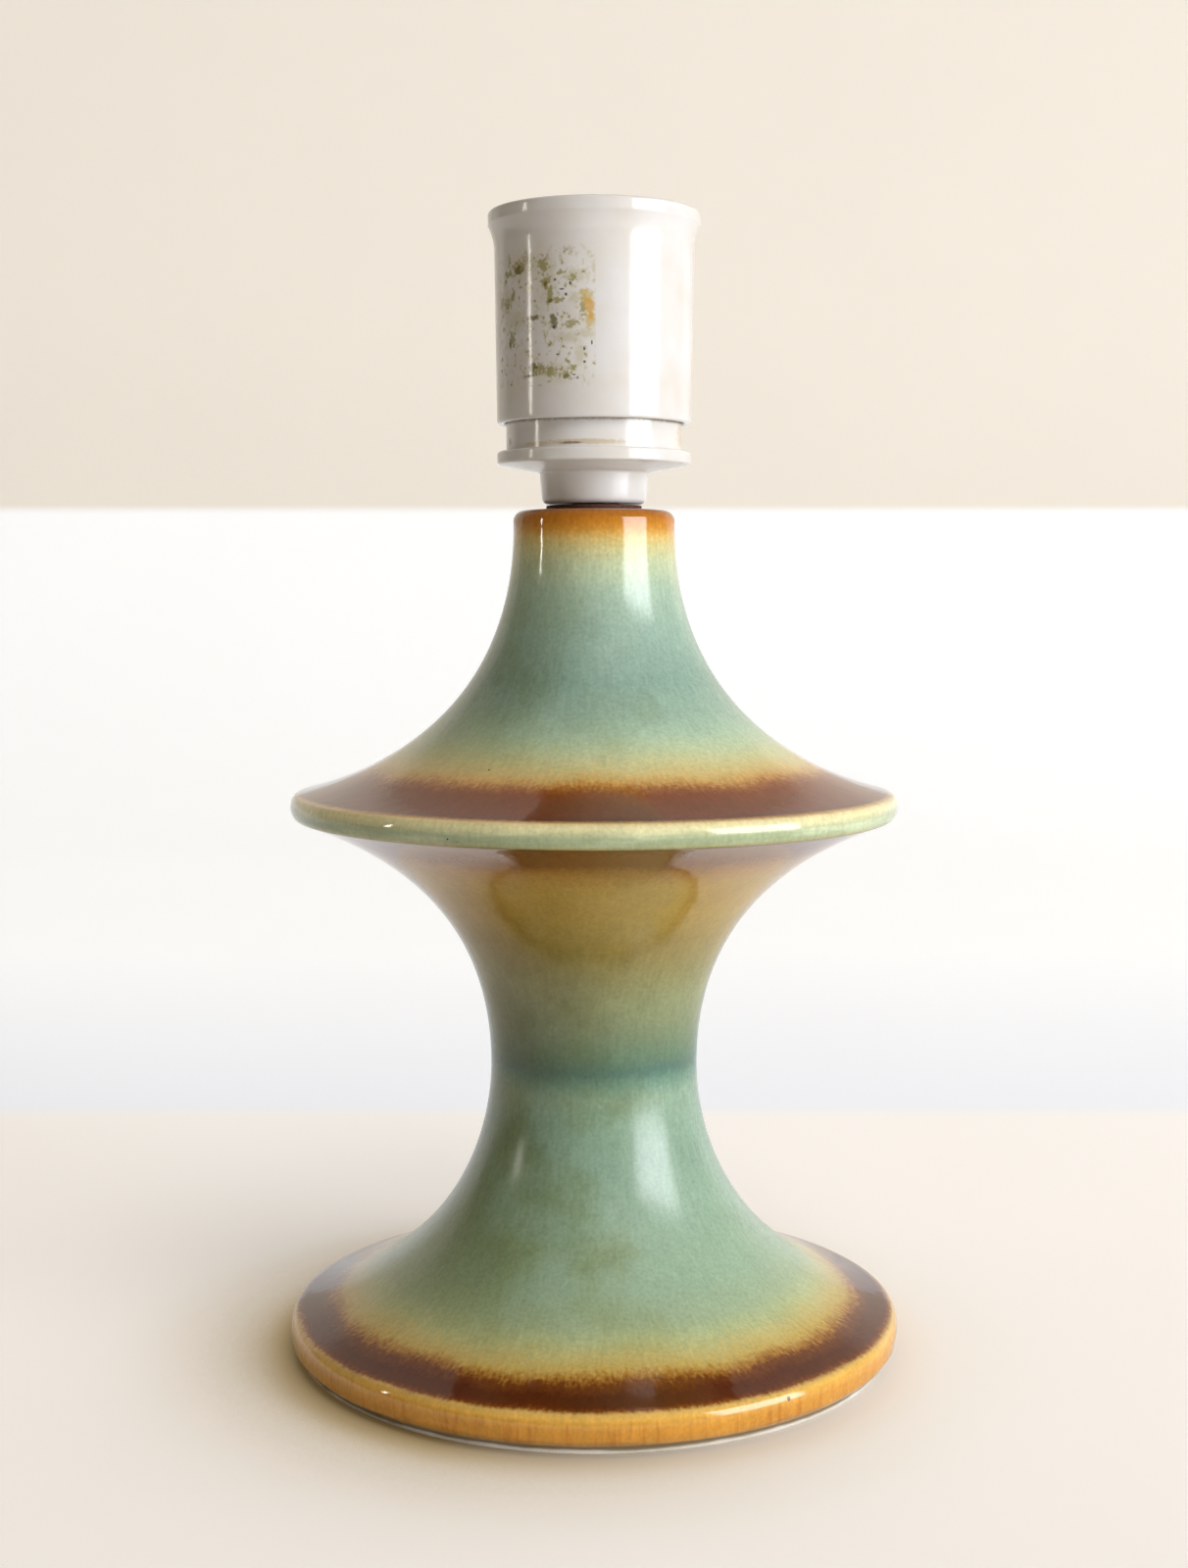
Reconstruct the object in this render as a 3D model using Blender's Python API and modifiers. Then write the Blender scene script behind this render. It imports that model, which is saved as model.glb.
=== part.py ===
"""Ceramic table lamp with a lampholder.

One hollow, slip-cast and glazed body makes the base disc, the waist, the wide upper disc and
the neck. A threaded nipple, clamped inside the neck, carries a white plastic lampholder: a cap
with a porcelain insert, contacts and screw shell, and an outer sleeve that turns on the cap's
collar and clamps a shade ring on its flange.

Metres, +Z up. The lamp stands on z = 0, its axis is the Z axis and its front is -Y.
"""

from math import cos, radians, sin, sqrt, tan

import bmesh
import bpy
from mathutils import Matrix, Vector

# Clearances and facets
SEAT_GAP = 0.00025  # between pieces that press on each other
SLIDE_GAP = 0.00035  # radial, where one piece slides or turns on another
HOLE_GAP = 0.0003  # radial, round a screw, rivet or nipple in its hole
CUT_OVERRUN = 0.002  # how far a cutter runs past the piece that it cuts
MERGE_DISTANCE = 0.00001
BODY_STEPS = 44
SHELL_STEPS = 32
ROD_STEPS = 24
SCREW_STEPS = 12
FILLET_SEGMENTS = 2
FILLET_LIMIT_SHARE = 0.45  # of the shorter side at a corner
HALF = 0.5

# Ceramic body: heights are above the table, radii from the lamp's axis
FOOT_RADIUS = 0.0607
FOOT_WIDTH = 0.0044
FOOT_HEIGHT = 0.0017
BASE_RADIUS = 0.0626
BASE_WIDEST_HEIGHT = 0.0052
BASE_RIM_RISE = 0.0028
BASE_RIM_DROP = 0.0035
BASE_RIM_ROUND = 0.0016
WAIST_RADIUS = 0.0212
WAIST_HEIGHT = 0.0582
DISC_RADIUS = 0.0614
DISC_WIDEST_HEIGHT = 0.1118
DISC_RIM_RISE = 0.0024
DISC_RIM_DROP = 0.0024
DISC_RIM_ROUND = 0.0014
NECK_RADIUS = 0.0163
NECK_TOP = 0.1708
NECK_CORNER = 0.0022
NECK_STRAIGHT = 0.0012  # below the rounded corner, before the flare begins
WALL = 0.0050
NECK_ROOF = 0.0060
RIM_TURN = radians(76)  # how far round its ellipse a rim goes before it meets a flare
CAVITY_EDGE_DEPTH = 0.0150  # solid clay at the upper disc's thin edge
CABLE_HOLE_RADIUS = 0.0040
CABLE_HOLE_HEIGHT = 0.0220
# Each flare leaves its narrow end upright. The shares are: length of that upright start, then
# how far out and how far along the second handle lies.
BASE_FLARE_SHARES = (0.26, 0.15, 0.80)
UNDER_FLARE_SHARES = (0.43, 0.26, 0.79)
UPPER_FLARE_SHARES = (0.44, 0.27, 0.85)
FLARE_POINTS = 12
CAVITY_POINTS = 6
FINE_POINTS = 60  # on a flare before its inner side is thinned out
RIM_POINTS = 4

# Nipple and the clamp stack inside the neck
NIPPLE_RADIUS = 0.0050
NIPPLE_WALL = 0.0011
NIPPLE_TAIL = 0.0030  # below the nut
GASKET_THICKNESS = 0.0015
CLAMP_WASHER_THICKNESS = 0.0012
STACK_SIDE_GAP = 0.0014  # from the gasket's edge to the neck's inner wall
LOCK_WASHER_WIDTH = 0.0030
LOCK_WASHER_THICKNESS = 0.0016
LOCK_WASHER_SPLIT = 0.0016
NUT_ACROSS_FLATS = 0.0140
NUT_HEIGHT = 0.0050
NUT_CHAMFER = 0.0007
FIBRE_WASHER_THICKNESS = 0.0007
FIBRE_WASHER_RADIUS = 0.0096

# Lampholder, from the screw shell outwards
SHELL_BORE = 0.0133
SHELL_SHEET = 0.0005
SHELL_FLOOR = 0.0008
SHELL_FLOOR_WIDTH = 0.0051
SHELL_HEIGHT = 0.0220
SHELL_LIP = 0.0008
SHELL_LIP_THICKNESS = 0.0006
GUARD_WALL = 0.0025
GUARD_RIM = 0.0014  # how far the guard stands above the shell's lip
GUARD_LIP_GAP = 0.0003
COLLAR_STEP = 0.0010
COLLAR_WALL = 0.0018
COLLAR_HEIGHT = 0.0170
FLANGE_EDGE = 0.0025
FLANGE_SLOPE = 0.0016  # rise of the flange's underside from the neck to its edge
FLANGE_ROUND = 0.0005
CAP_NECK_RADIUS = 0.0109
CAP_NECK_TAPER = 0.0005
CAP_NECK_HEIGHT = 0.0063
CAP_NECK_ROUND = 0.0012
CAP_FLOOR = 0.0050
CAP_STOP = 0.0015  # the lip over the nipple's end
CAP_STOP_WIDTH = 0.0013
SET_SCREW_RADIUS = 0.00175
SET_SCREW_RECESS = 0.0005
SET_SCREW_LEVEL_SHARE = 0.5  # of the cap's neck height

# Outer sleeve
SLEEVE_WALL = 0.00145
SLEEVE_TAPER = 0.00045
SLEEVE_HEIGHT = 0.0414
SLEEVE_RIM_HEIGHT = 0.0025
SLEEVE_FLARE_HEIGHT = 0.0050
SLEEVE_RIM_WIDTH = 0.00125
SLEEVE_ROUND = 0.0006
SLEEVE_FLARE_SHARES = (0.35, 0.42, 0.70)
SLEEVE_FLARE_POINTS = 6
SHADE_GAP = 0.0055  # between the sleeve and the flange, where a shade ring is clamped

# Porcelain insert and contacts
INSERT_HEIGHT = 0.0138
INSERT_ROUND = 0.0006
WELL_RADIUS = 0.0060
WELL_HEIGHT = 0.0040
TERMINAL_WIDTH = 0.0060
TERMINAL_HEIGHT = 0.0060
TERMINAL_MARGIN = 0.0017  # brass beyond a rivet's axis at each end of a terminal
TERMINAL_ROOF = 0.0059  # porcelain over a terminal
TERMINAL_ROUND = 0.0004
WIRE_HOLE_RADIUS = 0.00115
WIRE_HOLE_DEPTH = 0.0032
CLAMP_SCREW_RADIUS = 0.0014
CLAMP_SCREW_HEAD_RADIUS = 0.0024
CLAMP_SCREW_HEAD = 0.0015
CLAMP_SCREW_LEVEL = 0.0022  # axis above the terminal's underside
FIXING_SCREW_RADIUS = 0.0014
FIXING_SCREW_HEAD_RADIUS = 0.0024
FIXING_SCREW_HEAD = 0.0018
FIXING_SCREW_BITE = 0.0036  # into the cap's floor
SLOT_WIDTH = 0.0007
SLOT_DEPTH_SHARE = 0.5  # of a screw's head
RIVET_RADIUS = 0.0009
RIVET_HEAD_RADIUS = 0.00125
RIVET_HEAD = 0.0008
RIVET_BITE = 0.0012  # into the terminal
CONTACT_RIVET_INSET = 0.0025  # from the edge of the shell's floor opening
CONTACT_SHEET = 0.0005
CONTACT_WIDTH = 0.0048
CONTACT_FOOT_BACK = 0.0014  # behind the rivet's axis
CONTACT_FOOT_FRONT = 0.0018
CONTACT_RISE = 0.0032
CONTACT_NOSE = 0.0022  # past the lamp's axis
CONTACT_NOSE_DROP = 0.0012
CONTACT_PLAY = 0.0005  # under the rivet's head, so that the tongue can bend
CONTACT_POINTS = 7
CONTACT_HANDLE_SHARE = 0.45

# Places that follow from the sizes above
cavity_neck_radius = NECK_RADIUS - WALL
neck_roof_underside = NECK_TOP - NECK_ROOF
gasket_seat = neck_roof_underside - SEAT_GAP - GASKET_THICKNESS
clamp_washer_seat = gasket_seat - SEAT_GAP - CLAMP_WASHER_THICKNESS
lock_washer_seat = clamp_washer_seat - SEAT_GAP - LOCK_WASHER_THICKNESS
nut_seat = lock_washer_seat - SEAT_GAP - NUT_HEIGHT
nipple_bottom = nut_seat - NIPPLE_TAIL
stack_radius = cavity_neck_radius - STACK_SIDE_GAP

fibre_washer_seat = NECK_TOP + SEAT_GAP
cap_seat = fibre_washer_seat + FIBRE_WASHER_THICKNESS + SEAT_GAP
cap_floor_top = cap_seat + CAP_NECK_HEIGHT + CAP_FLOOR
flange_top = cap_seat + CAP_NECK_HEIGHT + FLANGE_SLOPE + FLANGE_EDGE
collar_top = flange_top + COLLAR_HEIGHT
nipple_top = cap_floor_top - CAP_STOP - SEAT_GAP

shell_radius = SHELL_BORE + SHELL_SHEET
shell_lip_radius = shell_radius + SHELL_LIP
shell_opening = SHELL_BORE - SHELL_FLOOR_WIDTH
guard_bore = shell_radius + HOLE_GAP
guard_radius = guard_bore + GUARD_WALL
collar_radius = guard_radius + COLLAR_STEP
collar_bore = collar_radius - COLLAR_WALL
sleeve_bore = collar_radius + SLIDE_GAP
sleeve_foot_radius = sleeve_bore + SLEEVE_WALL
flange_radius = sleeve_foot_radius
insert_radius = collar_bore - SLIDE_GAP

insert_seat = cap_floor_top + SEAT_GAP
insert_top = insert_seat + INSERT_HEIGHT
terminal_top = insert_top - TERMINAL_ROOF
terminal_seat = terminal_top - TERMINAL_HEIGHT
shell_seat = insert_top + SEAT_GAP
shell_floor_top = shell_seat + SHELL_FLOOR
shell_top = shell_seat + SHELL_HEIGHT
guard_seat = collar_top + SEAT_GAP
guard_top = shell_top + GUARD_RIM
sleeve_seat = flange_top + SHADE_GAP

floor_middle = (shell_opening + SHELL_BORE) * HALF
contact_rivet_reach = shell_opening - CONTACT_RIVET_INSET
terminal_inner_end = contact_rivet_reach - TERMINAL_MARGIN
terminal_outer_end = floor_middle + TERMINAL_MARGIN
wire_hole_reach = (terminal_inner_end + terminal_outer_end) * HALF

# Colours are linear, with roughness and metallic
MATERIALS = {
    "glazed_stoneware": ((0.28, 0.38, 0.28), 0.12, 0.0),
    "red_fibre": ((0.09, 0.035, 0.02), 0.75, 0.0),
    "black_rubber": ((0.02, 0.02, 0.02), 0.8, 0.0),
    "zinc_steel": ((0.56, 0.57, 0.58), 0.35, 1.0),
    "brass": ((0.75, 0.52, 0.22), 0.3, 1.0),
    "nickelled_brass": ((0.66, 0.61, 0.5), 0.25, 1.0),
    "white_thermoset": ((0.82, 0.79, 0.75), 0.22, 0.0),
    "porcelain": ((0.8, 0.78, 0.72), 0.2, 0.0),
}


# Outlines are lists of (radius, height)
def bezier(start, handle_a, handle_b, end, count):
    """Points on a cubic Bezier curve, with both ends."""
    corners = [Vector(point) for point in (start, handle_a, handle_b, end)]
    points = []
    for index in range(count):
        t = index / (count - 1)
        s = 1 - t
        weights = (s * s * s, 3 * s * s * t, 3 * s * t * t, t * t * t)
        point = sum((corner * w for corner, w in zip(corners, weights)), Vector((0, 0)))
        points.append(tuple(point))
    return points


def flare(narrow, wide, shares, count):
    """A trumpet curve that leaves its narrow end upright and ends shallow at its wide one."""
    lead, reach, rise = shares
    out = wide[0] - narrow[0]
    along = wide[1] - narrow[1]
    handle_a = (narrow[0], narrow[1] + lead * along)
    handle_b = (narrow[0] + reach * out, narrow[1] + rise * along)
    return bezier(narrow, handle_a, handle_b, wide, count)


def rim(radius, height, depth, rise, turn, count):
    """Part of an upright ellipse, from its widest point as far as turn, up or down by rise."""
    angles = [turn * index / (count - 1) for index in range(count)]
    return [(radius - depth + depth * cos(a), height + rise * sin(a)) for a in angles]


def moved_sideways(points, distance):
    """The outline moved by distance to the right of its own direction."""
    moved = []
    for index, point in enumerate(points):
        before = Vector(points[max(index - 1, 0)])
        after = Vector(points[min(index + 1, len(points) - 1)])
        along = (after - before).normalized()
        moved.append((point[0] + distance * along.y, point[1] - distance * along.x))
    return moved


def rounded(corners):
    """A closed outline from (radius, height, fillet) corners. A fillet is limited by its wall."""
    outline = []
    for index, (radius, height, fillet) in enumerate(corners):
        here = Vector((radius, height))
        if not fillet:
            outline.append((radius, height))
            continue
        back = Vector(corners[index - 1][:2]) - here
        ahead = Vector(corners[(index + 1) % len(corners)][:2]) - here
        half_angle = back.angle(ahead) * HALF
        limit = FILLET_LIMIT_SHARE * min(back.length, ahead.length)
        reach = min(fillet / tan(half_angle), limit)
        centre = here + (back.normalized() + ahead.normalized()).normalized() * (reach / cos(half_angle))
        first = here + back.normalized() * reach - centre
        last = here + ahead.normalized() * reach - centre
        sweep = first.angle(last)
        for step in range(FILLET_SEGMENTS + 1):
            t = step / FILLET_SEGMENTS
            spoke = (first * sin((1 - t) * sweep) + last * sin(t * sweep)) / sin(sweep)
            outline.append(tuple(centre + spoke))
    return outline


# Objects
def new_collection(name):
    collection = bpy.data.collections.new(name)
    bpy.context.scene.collection.children.link(collection)
    return collection


def new_material(name):
    color, roughness, metallic = MATERIALS[name]
    material = bpy.data.materials.new(name)
    material.use_nodes = True
    material.diffuse_color = (*color, 1)
    shader = material.node_tree.nodes["Principled BSDF"]
    shader.inputs["Base Color"].default_value = (*color, 1)
    shader.inputs["Roughness"].default_value = roughness
    shader.inputs["Metallic"].default_value = metallic
    return material


def new_empty(name, height, parent=None):
    empty = bpy.data.objects.new(name, None)
    lamp.objects.link(empty)
    empty.parent = parent
    empty.location.z = height - (parent.location.z if parent else 0)
    return empty


def add_piece(name, mesh, material, location, parent):
    """Links a named sub-part with its material. Location is in the lamp's own frame."""
    obj = bpy.data.objects.new(name, mesh)
    lamp.objects.link(obj)
    obj.parent = parent
    obj.location = Vector(location) - parent.matrix_world.translation
    mesh.materials.append(materials[material])
    return obj


def add_cutter(name, mesh, location=(0, 0, 0)):
    obj = bpy.data.objects.new(name, mesh)
    cutters.objects.link(obj)
    obj.location = location
    obj.hide_render = True
    obj.display_type = "WIRE"
    return obj


def outline_mesh(name, outline, closed):
    """An outline at +X, ready to be turned about Z."""
    mesh = bpy.data.meshes.new(name)
    edges = [(index, index + 1) for index in range(len(outline) - 1)]
    if closed:
        edges.append((len(outline) - 1, 0))
    mesh.from_pydata([(radius, 0, height) for radius, height in outline], edges, [])
    return mesh


def turn(obj, steps):
    screw = obj.modifiers.new("turn", "SCREW")
    screw.steps = steps
    screw.render_steps = steps
    screw.use_merge_vertices = True
    screw.merge_threshold = MERGE_DISTANCE
    screw.use_smooth_shade = True
    return obj


def turned(name, outline, material, seat, steps, parent, closed=True):
    """A turned sub-part whose outline's heights are measured from seat."""
    mesh = outline_mesh(name, outline, closed)
    return turn(add_piece(name, mesh, material, (0, 0, seat), parent), steps)


def rod_mesh(name, radius, length, axis, steps):
    """A rod along axis, from its end at the origin. Its corners lie off the other two axes."""
    mesh = bpy.data.meshes.new(name)
    shape = bmesh.new()
    bmesh.ops.create_cone(
        shape, cap_ends=True, segments=steps, radius1=radius, radius2=radius, depth=length
    )
    bmesh.ops.translate(shape, verts=shape.verts, vec=(0, 0, length * HALF))
    aims = {
        "X": Matrix.Rotation(radians(90), 4, "Y"),
        "Y": Matrix.Rotation(radians(-90), 4, "X"),
        "Z": Matrix.Identity(4),
    }
    half_step = Matrix.Rotation(radians(180) / steps, 4, "Z")
    bmesh.ops.transform(shape, matrix=aims[axis] @ half_step, verts=shape.verts)
    shape.to_mesh(mesh)
    shape.free()
    return mesh


def block_mesh(name, low, high):
    """A box between two corners."""
    mesh = bpy.data.meshes.new(name)
    shape = bmesh.new()
    bmesh.ops.create_cube(shape, size=1)
    size = Vector(high) - Vector(low)
    middle = (Vector(high) + Vector(low)) * HALF
    bmesh.ops.scale(shape, vec=size, verts=shape.verts)
    bmesh.ops.translate(shape, vec=middle, verts=shape.verts)
    shape.to_mesh(mesh)
    shape.free()
    return mesh


def cut(obj, cutter, operation="DIFFERENCE"):
    boolean = obj.modifiers.new(cutter.name, "BOOLEAN")
    boolean.operation = operation
    boolean.solver = "EXACT"
    boolean.object = cutter


def cut_rod(obj, name, radius, start, length, axis):
    """Drills a round hole from start along axis."""
    cut(obj, add_cutter(name, rod_mesh(name, radius, length, axis, SCREW_STEPS), start))


def soften(obj, width):
    bevel = obj.modifiers.new("edges", "BEVEL")
    bevel.width = width
    bevel.segments = 1
    bevel.limit_method = "ANGLE"


# Ceramic body
def body_outline():
    """The clay's outline: down the outside, then up the inside."""
    disc_top = rim(DISC_RADIUS, DISC_WIDEST_HEIGHT, DISC_RIM_ROUND, DISC_RIM_RISE, RIM_TURN, RIM_POINTS)
    disc_low = rim(DISC_RADIUS, DISC_WIDEST_HEIGHT, DISC_RIM_ROUND, -DISC_RIM_DROP, RIM_TURN, RIM_POINTS)
    base_top = rim(BASE_RADIUS, BASE_WIDEST_HEIGHT, BASE_RIM_ROUND, BASE_RIM_RISE, RIM_TURN, RIM_POINTS)
    base_low = rim(BASE_RADIUS, BASE_WIDEST_HEIGHT, BASE_RIM_ROUND, -BASE_RIM_DROP, RIM_TURN, RIM_POINTS)
    neck_end = (NECK_RADIUS, NECK_TOP - NECK_CORNER - NECK_STRAIGHT)
    waist = (WAIST_RADIUS, WAIST_HEIGHT)
    corner = rim(NECK_RADIUS, NECK_TOP - NECK_CORNER, NECK_CORNER, NECK_CORNER, radians(90), RIM_POINTS)
    upper = flare(neck_end, disc_top[-1], UPPER_FLARE_SHARES, FLARE_POINTS)
    under = flare(waist, disc_low[-1], UNDER_FLARE_SHARES, FLARE_POINTS)
    base = flare(waist, base_top[-1], BASE_FLARE_SHARES, FLARE_POINTS)
    outside = corner[::-1] + upper + disc_top[-2::-1] + disc_low[1:]
    outside += under[-2::-1] + base[1:] + base_top[-2::-1] + base_low[1:]

    foot_inner = FOOT_RADIUS - FOOT_WIDTH
    foot = [(FOOT_RADIUS, FOOT_HEIGHT), (FOOT_RADIUS, 0), (foot_inner, 0)]

    def hollow(narrow, wide, shares, limit):
        """The inner side of a flare, one wall in, below the neck's roof and as far out as limit."""
        outer = flare(narrow, wide, shares, FINE_POINTS)
        side = WALL if wide[1] > narrow[1] else -WALL
        inner = moved_sideways(outer, -side)
        inner = [point for point in inner if point[0] < limit and point[1] < neck_roof_underside]
        last = len(inner) - 1
        return [inner[round(last * index / (CAVITY_POINTS - 1))] for index in range(CAVITY_POINTS)]

    cavity_edge = DISC_RADIUS - CAVITY_EDGE_DEPTH
    base_inside = hollow(waist, base_top[-1], BASE_FLARE_SHARES, foot_inner)
    under_inside = hollow(waist, disc_low[-1], UNDER_FLARE_SHARES, cavity_edge)
    upper_inside = hollow(neck_end, disc_top[-1], UPPER_FLARE_SHARES, cavity_edge)
    bore = NIPPLE_RADIUS + HOLE_GAP
    inside = base_inside[::-1] + under_inside[1:] + upper_inside[::-1]
    inside += [(cavity_neck_radius, neck_roof_underside), (bore, neck_roof_underside), (bore, NECK_TOP)]
    return outside + foot + inside


def ceramic_body():
    body = turned("ceramic_body", body_outline(), "glazed_stoneware", 0, BODY_STEPS, lamp_axis)
    start = (0, WAIST_RADIUS, CABLE_HOLE_HEIGHT)
    cut_rod(body, "cable_hole", CABLE_HOLE_RADIUS, start, BASE_RADIUS, "Y")


# Nipple and clamp stack
def ring(name, bore, radius, thickness, material, seat, parent, steps=ROD_STEPS):
    outline = [(bore, thickness), (radius, thickness), (radius, 0), (bore, 0)]
    return turned(name, outline, material, seat, steps, parent)


def nipple_and_stack():
    around_nipple = NIPPLE_RADIUS + HOLE_GAP
    ring(
        "threaded_nipple",
        NIPPLE_RADIUS - NIPPLE_WALL,
        NIPPLE_RADIUS,
        nipple_top - nipple_bottom,
        "zinc_steel",
        nipple_bottom,
        lamp_axis,
    )
    ring("neck_gasket", around_nipple, stack_radius, GASKET_THICKNESS, "black_rubber", gasket_seat, lamp_axis)
    ring(
        "clamp_washer",
        around_nipple,
        stack_radius,
        CLAMP_WASHER_THICKNESS,
        "zinc_steel",
        clamp_washer_seat,
        lamp_axis,
    )
    lock_radius = around_nipple + LOCK_WASHER_WIDTH
    lock = ring(
        "lock_washer",
        around_nipple,
        lock_radius,
        LOCK_WASHER_THICKNESS,
        "zinc_steel",
        lock_washer_seat,
        lamp_axis,
    )
    half_split = LOCK_WASHER_SPLIT * HALF
    low = (NIPPLE_RADIUS, -half_split, -CUT_OVERRUN)
    high = (lock_radius + CUT_OVERRUN, half_split, LOCK_WASHER_THICKNESS + CUT_OVERRUN)
    cut(lock, add_cutter("lock_washer_split", block_mesh("split", low, high), (0, 0, lock_washer_seat)))
    ring(
        "fibre_washer",
        around_nipple,
        FIBRE_WASHER_RADIUS,
        FIBRE_WASHER_THICKNESS,
        "red_fibre",
        fibre_washer_seat,
        lamp_axis,
        SHELL_STEPS,
    )


def hex_nut():
    corner_radius = NUT_ACROSS_FLATS / sqrt(3)
    mesh = rod_mesh("hex_nut", corner_radius, NUT_HEIGHT, "Z", 6)
    nut = add_piece("hex_nut", mesh, "zinc_steel", (0, 0, nut_seat), lamp_axis)
    chamfer_radius = NUT_ACROSS_FLATS * HALF
    corner = corner_radius + NUT_CHAMFER
    drop = (corner - chamfer_radius) * tan(radians(30))
    bore = NIPPLE_RADIUS + HOLE_GAP
    barrel = [
        (bore, NUT_HEIGHT),
        (chamfer_radius, NUT_HEIGHT),
        (corner, NUT_HEIGHT - drop),
        (corner, drop),
        (chamfer_radius, 0),
        (bore, 0),
    ]
    mesh = outline_mesh("nut_chamfer", barrel, True)
    cut(nut, turn(add_cutter("nut_chamfer", mesh, (0, 0, nut_seat)), ROD_STEPS), "INTERSECT")


# Screws and rivets point up along their own Z, with the head's underside at the origin
def pan_head(head_radius, head, shank_radius, shank):
    """The outline of a headed fastener, from the top of its head down to its tip."""
    crown = rim(head_radius, 0, head_radius, head, radians(90), RIM_POINTS)
    return crown[::-1] + [(shank_radius, 0), (shank_radius, -shank), (0, -shank)]


def fastener(name, head_radius, head, shank_radius, shank, material, location, slotted, parent):
    outline = pan_head(head_radius, head, shank_radius, shank)
    mesh = outline_mesh(name, outline, False)
    obj = turn(add_piece(name, mesh, material, location, parent), SCREW_STEPS)
    if slotted:
        depth = head * SLOT_DEPTH_SHARE
        low = (-head_radius - CUT_OVERRUN, -SLOT_WIDTH * HALF, head - depth)
        high = (head_radius + CUT_OVERRUN, SLOT_WIDTH * HALF, head + CUT_OVERRUN)
        slot = add_cutter(f"{name}_slot", block_mesh(f"{name}_slot", low, high), location)
        cut(obj, slot)
        return obj, slot
    return obj, None


def rivet(name, shank, place):
    fastener(name, RIVET_HEAD_RADIUS, RIVET_HEAD, RIVET_RADIUS, shank, "brass", place, False, holder_axis)


# Cap
def holder_cap():
    """The cap's neck, flange and collar, with the nipple's bore and stop."""
    neck_top = CAP_NECK_HEIGHT
    edge_low = neck_top + FLANGE_SLOPE
    edge_top = edge_low + FLANGE_EDGE
    floor = neck_top + CAP_FLOOR
    top = edge_top + COLLAR_HEIGHT
    bore = NIPPLE_RADIUS + HOLE_GAP
    stop_bore = bore - CAP_STOP_WIDTH
    outline = rounded(
        [
            (collar_bore, top, 0),
            (collar_radius, top, FLANGE_ROUND),
            (collar_radius, edge_top, 0),
            (flange_radius, edge_top, FLANGE_ROUND),
            (flange_radius, edge_low, FLANGE_ROUND),
            (CAP_NECK_RADIUS, neck_top, FLANGE_ROUND),
            (CAP_NECK_RADIUS - CAP_NECK_TAPER, 0, CAP_NECK_ROUND),
            (bore, 0, 0),
            (bore, floor - CAP_STOP, 0),
            (stop_bore, floor - CAP_STOP, 0),
            (stop_bore, floor, 0),
            (collar_bore, floor, FLANGE_ROUND),
        ]
    )
    cap = turned("holder_cap", outline, "white_thermoset", cap_seat, SHELL_STEPS, holder_axis)
    hole = FIXING_SCREW_RADIUS + HOLE_GAP
    depth = FIXING_SCREW_BITE + HOLE_GAP
    for side, place in (("front", -floor_middle), ("rear", floor_middle)):
        start = (0, place, cap_floor_top - depth)
        cut_rod(cap, f"cap_hole_{side}", hole, start, depth + CUT_OVERRUN, "Z")

    level = CAP_NECK_HEIGHT * SET_SCREW_LEVEL_SHARE
    radius_here = CAP_NECK_RADIUS - CAP_NECK_TAPER * (1 - SET_SCREW_LEVEL_SHARE)
    start = (0, NIPPLE_RADIUS, cap_seat + level)
    cut_rod(cap, "set_screw_hole", SET_SCREW_RADIUS + HOLE_GAP, start, CAP_NECK_RADIUS, "Y")

    inner_end = NIPPLE_RADIUS + SEAT_GAP
    length = radius_here - SET_SCREW_RECESS - inner_end
    mesh = rod_mesh("cap_set_screw", SET_SCREW_RADIUS, length, "Y", SCREW_STEPS)
    place = (0, inner_end, cap_seat + level)
    screw = add_piece("cap_set_screw", mesh, "zinc_steel", place, holder_axis)
    slot_depth = SET_SCREW_RADIUS * SLOT_DEPTH_SHARE
    across = SET_SCREW_RADIUS + CUT_OVERRUN
    low = (-across, length - slot_depth, -SLOT_WIDTH * HALF)
    high = (across, length + CUT_OVERRUN, SLOT_WIDTH * HALF)
    cut(screw, add_cutter("set_screw_slot", block_mesh("set_screw_slot", low, high), place))


# Sleeve and guard
def holder_sleeve():
    """The outer sleeve: slightly wider towards its flared rim, with an even wall below it."""
    neck_height = SLEEVE_HEIGHT - SLEEVE_RIM_HEIGHT - SLEEVE_FLARE_HEIGHT
    body_radius = sleeve_foot_radius + SLEEVE_TAPER
    rim_radius = body_radius + SLEEVE_RIM_WIDTH
    mouth = sleeve_bore + SLEEVE_TAPER
    narrow = (body_radius, neck_height)
    wide = (rim_radius, SLEEVE_HEIGHT - SLEEVE_RIM_HEIGHT)
    curve = flare(narrow, wide, SLEEVE_FLARE_SHARES, SLEEVE_FLARE_POINTS)
    corners = [(mouth, SLEEVE_HEIGHT, SLEEVE_ROUND), (rim_radius, SLEEVE_HEIGHT, SLEEVE_ROUND)]
    corners += [(radius, height, 0) for radius, height in curve[::-1]]
    corners += [(sleeve_foot_radius, 0, FLANGE_ROUND), (sleeve_bore, 0, FLANGE_ROUND)]
    corners += [(sleeve_bore, COLLAR_HEIGHT, 0)]
    turned("holder_sleeve", rounded(corners), "white_thermoset", sleeve_seat, SHELL_STEPS, sleeve_axis)


def shell_guard():
    """An insulating ring on the collar. The shell's lip sits on a shoulder inside its top."""
    height = guard_top - guard_seat
    lip_seat = shell_top - SHELL_LIP_THICKNESS - SEAT_GAP - guard_seat
    mouth = shell_lip_radius + GUARD_LIP_GAP
    corners = [
        (mouth, height, FLANGE_ROUND),
        (guard_radius, height, FLANGE_ROUND),
        (guard_radius, 0, 0),
        (guard_bore, 0, 0),
        (guard_bore, lip_seat, 0),
        (mouth, lip_seat, 0),
    ]
    turned("shell_guard", rounded(corners), "white_thermoset", guard_seat, SHELL_STEPS, holder_axis)


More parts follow.
